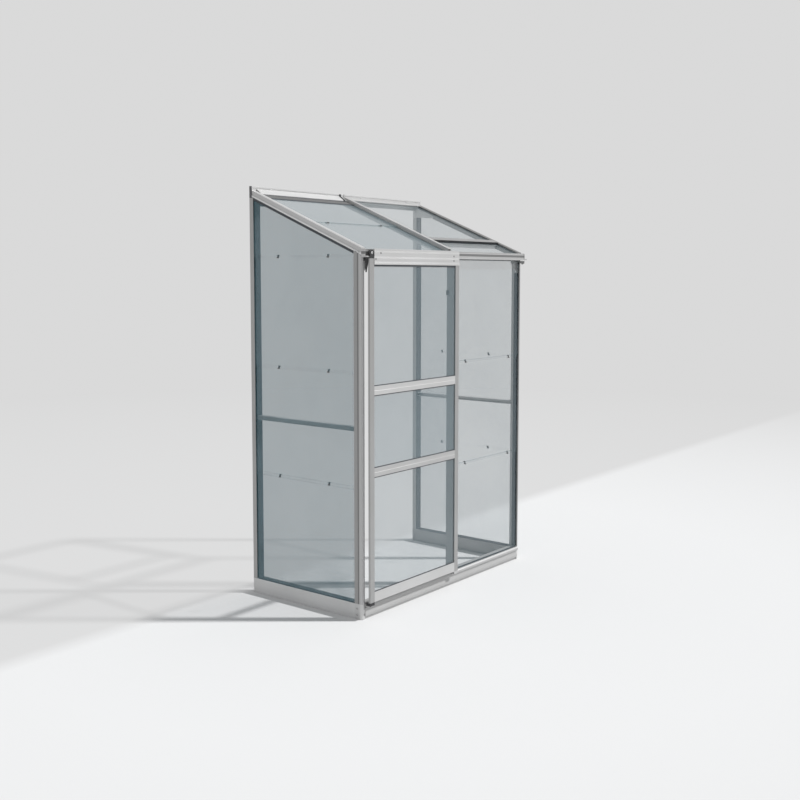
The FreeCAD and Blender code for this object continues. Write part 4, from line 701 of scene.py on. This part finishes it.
class GREENHOUSE_OT_ridge(bpy.types.Operator):
    """Make the ridge bars with their end caps, and the apron and strips over the fixed panes"""
    bl_idname = "greenhouse.ridge"
    bl_label = "Ridge"

    def execute(self, context):
        looks = context.scene.greenhouse_looks
        bright = extruded_aluminium("aluminium_ridge", looks.metal * 1.05, "X", 0.4, 0.5)
        black = moulded_plastic("ridge_plastic", (0.09, 0.09, 0.095), 0.45)
        for side in ("left", "right"):
            low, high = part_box(f"ridge_bar_{side}")
            outline = [(high.y, low.z), (high.y, high.z)]
            outline += [(low.y + inward, high.z - down) for inward, down in RIDGE_FACE]
            outline += [(low.y, low.z)]
            outer, inner = (low.x, high.x) if side == "left" else (high.x, low.x)
            cap = outer + math.copysign(RIDGE_CAP, -outer)
            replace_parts(level_bar(f"ridge_{side}", outline, (cap, inner), bright), f"ridge_bar_{side}")
            level_bar(f"ridge_end_{side}", outline, (outer, cap), black)

        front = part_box("ridge_bar_left")[0].y
        apron = [(front - out, z) for out, z in APRON]
        level_bar("ridge_apron", apron, APRON_ENDS, bright)
        cover = [(front - out, z) for out, z in JOINT_COVER]
        joint = moulded_plastic("joint_plastic", (0.015, 0.015, 0.017), 0.45)
        level_bar("ridge_joint_cover", cover, JOINT_COVER_ENDS, joint)

        strip = rubber("ridge_rubber", looks.rubber)
        # The cover's low brightness is painted shade on a face that the sun lights
        grey = extruded_aluminium("aluminium_cover", looks.metal * 0.22, "X", 0.6, 0.3)
        for name, near, far, top in STRIPS:
            outline = [(front - out * MM, roof_line(front - out * MM, rise * MM)) for out, rise in (
                (near, STRIP_FOOT), (near, top), (far, top), (far, STRIP_FOOT))]
            material, slot = (grey, "aluminium") if name == "ridge_cover" else (strip, "rubber")
            level_bar(name, outline, STRIP_ENDS, material)
        return {"FINISHED"}


class GREENHOUSE_OT_glazing(bpy.types.Operator):
    """Finish the panes of the gables, front, door, roof and vent"""
    bl_idname = "greenhouse.glazing"
    bl_label = "Glazing"

    def execute(self, context):
        looks = context.scene.greenhouse_looks
        for name, (normal, share) in PANES.items():
            tint = looks.gable_glass if normal == ACROSS else looks.glass
            laps = LAPS if name.startswith(LAPPED) else []
            wear([name], pane_glass(f"glass_{name}", normal, tone(1.0, tint), looks.body * share, laps))
        return {"FINISHED"}


class GREENHOUSE_OT_seals(bpy.types.Operator):
    """Finish the rubber strips and the plastic pieces"""
    bl_idname = "greenhouse.seals"
    bl_label = "Seals and plastics"

    def execute(self, context):
        wear(SEALS, rubber("seal_rubber", context.scene.greenhouse_looks.rubber))
        wear(["ridge_joiner", "door_hangers"], moulded_plastic("black_plastic", BLACK, 0.42))
        wear(["door_stops"], moulded_plastic("buffer_plastic", BLACK, 0.45, 0.3))
        wear(["door_glides"], moulded_plastic("glide_plastic", BLACK, 0.45, -0.3))
        wear(["door_wheel_left", "door_wheel_right"],
             moulded_plastic("wheel_nylon", (0.05, 0.05, 0.052), 0.35))
        return {"FINISHED"}


class GREENHOUSE_OT_fasteners(bpy.types.Operator):
    """Set the bolts of the frame, the rivets of the door's wheels and the screws of the ridge"""
    bl_idname = "greenhouse.fasteners"
    bl_label = "Fasteners"

    def execute(self, context):
        zinc = zinc_steel("zinc_plate", 0.55)
        wear(["wheel_axles", "stay_bolt"], zinc)
        hex_head = domed_head("hex_button", 6, 0.42, 0.5)
        square_head = domed_head("cross_button", 4, 0.4, 0.35)

        bolts = {"small": [], "large": []}
        for centre, size in islands("frame_bolts"):
            thin = min(range(3), key=lambda axis: size[axis])
            outwards = centre.z < LOW_BOLT
            direction = Vector((0, 0, 0))
            if thin == 0:
                direction.x = math.copysign(1, centre.x) * (1 if outwards else -1)
            else:
                direction.y = -1 if outwards else 1
            radius = sorted(size)[1] / 2
            group = "large" if radius > LARGE_BOLT else "small"
            bolts[group].append((centre - direction * size[thin] / 2, direction, radius, size[thin]))
        for group, rows in bolts.items():
            made = set_heads(f"frame_bolt_heads_{group}", "frame", [row[:2] for row in rows], hex_head,
                             rows[0][2], rows[0][3], zinc)
            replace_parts(made, "frame_bolts")

        front = Vector((0, -1, 0))
        rivets = []
        screws = []
        for side in ("left", "right"):
            low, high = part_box(f"door_wheel_{side}")
            middle = ((low.x + high.x) / 2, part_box("door_hangers")[0].y, (low.z + high.z) / 2)
            rivets.append((middle, front))
            low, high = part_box(f"ridge_bar_{side}")
            for share in RIDGE_SCREW_PLACES:
                place = (low.x + (high.x - low.x) * share, low.y, high.z - RIDGE_SCREW_DROP)
                screws.append((place, front))
        set_heads("wheel_rivet_heads", "door", rivets, square_head, *WHEEL_RIVET, zinc)
        set_heads("ridge_screws", "frame", screws, square_head, *RIDGE_SCREW, zinc)
        return {"FINISHED"}


class GREENHOUSE_OT_stage(bpy.types.Operator):
    """Build the floor, the light and the camera"""
    bl_idname = "greenhouse.stage"
    bl_label = "Stage"

    def execute(self, context):
        scene = context.scene
        stage = scene.greenhouse_stage
        floor = fading_floor(stage)
        scene.collection.objects.link(floor)
        scene.world = studio_world(stage)
        scene.collection.objects.link(sunlight(stage.sun))
        camera = viewpoint()
        scene.collection.objects.link(camera)
        scene.camera = camera
        scene.view_settings.view_transform = "Standard"
        return {"FINISHED"}


class GREENHOUSE_PT_panel(bpy.types.Panel):
    """Settings of the greenhouse and buttons for its pieces"""
    bl_idname = "GREENHOUSE_PT_panel"
    bl_label = "Greenhouse"
    bl_space_type = "VIEW_3D"
    bl_region_type = "UI"
    bl_category = "Greenhouse"

    def draw(self, context):
        layout = self.layout
        for group in (context.scene.greenhouse_looks, context.scene.greenhouse_stage):
            for name in group.bl_rna.properties.keys():
                if name not in ("rna_type", "name"):
                    layout.prop(group, name)
        for operator in OPERATORS:
            layout.operator(operator.bl_idname)


OPERATORS = (GREENHOUSE_OT_metalwork, GREENHOUSE_OT_rafters, GREENHOUSE_OT_ridge, GREENHOUSE_OT_glazing,
             GREENHOUSE_OT_seals, GREENHOUSE_OT_fasteners, GREENHOUSE_OT_stage)
CLASSES = (GreenhouseLooks, GreenhouseStage) + OPERATORS + (GREENHOUSE_PT_panel,)


def register():
    for kind in CLASSES:
        bpy.utils.register_class(kind)
    bpy.types.Scene.greenhouse_looks = PointerProperty(type=GreenhouseLooks)
    bpy.types.Scene.greenhouse_stage = PointerProperty(type=GreenhouseStage)


def unregister():
    del bpy.types.Scene.greenhouse_stage
    del bpy.types.Scene.greenhouse_looks
    for kind in reversed(CLASSES):
        bpy.utils.unregister_class(kind)


def main():
    register()
    bpy.ops.greenhouse.metalwork()
    bpy.ops.greenhouse.rafters()
    bpy.ops.greenhouse.ridge()
    bpy.ops.greenhouse.glazing()
    bpy.ops.greenhouse.seals()
    bpy.ops.greenhouse.fasteners()
    bpy.ops.greenhouse.stage()


if __name__ == "__main__":
    main()
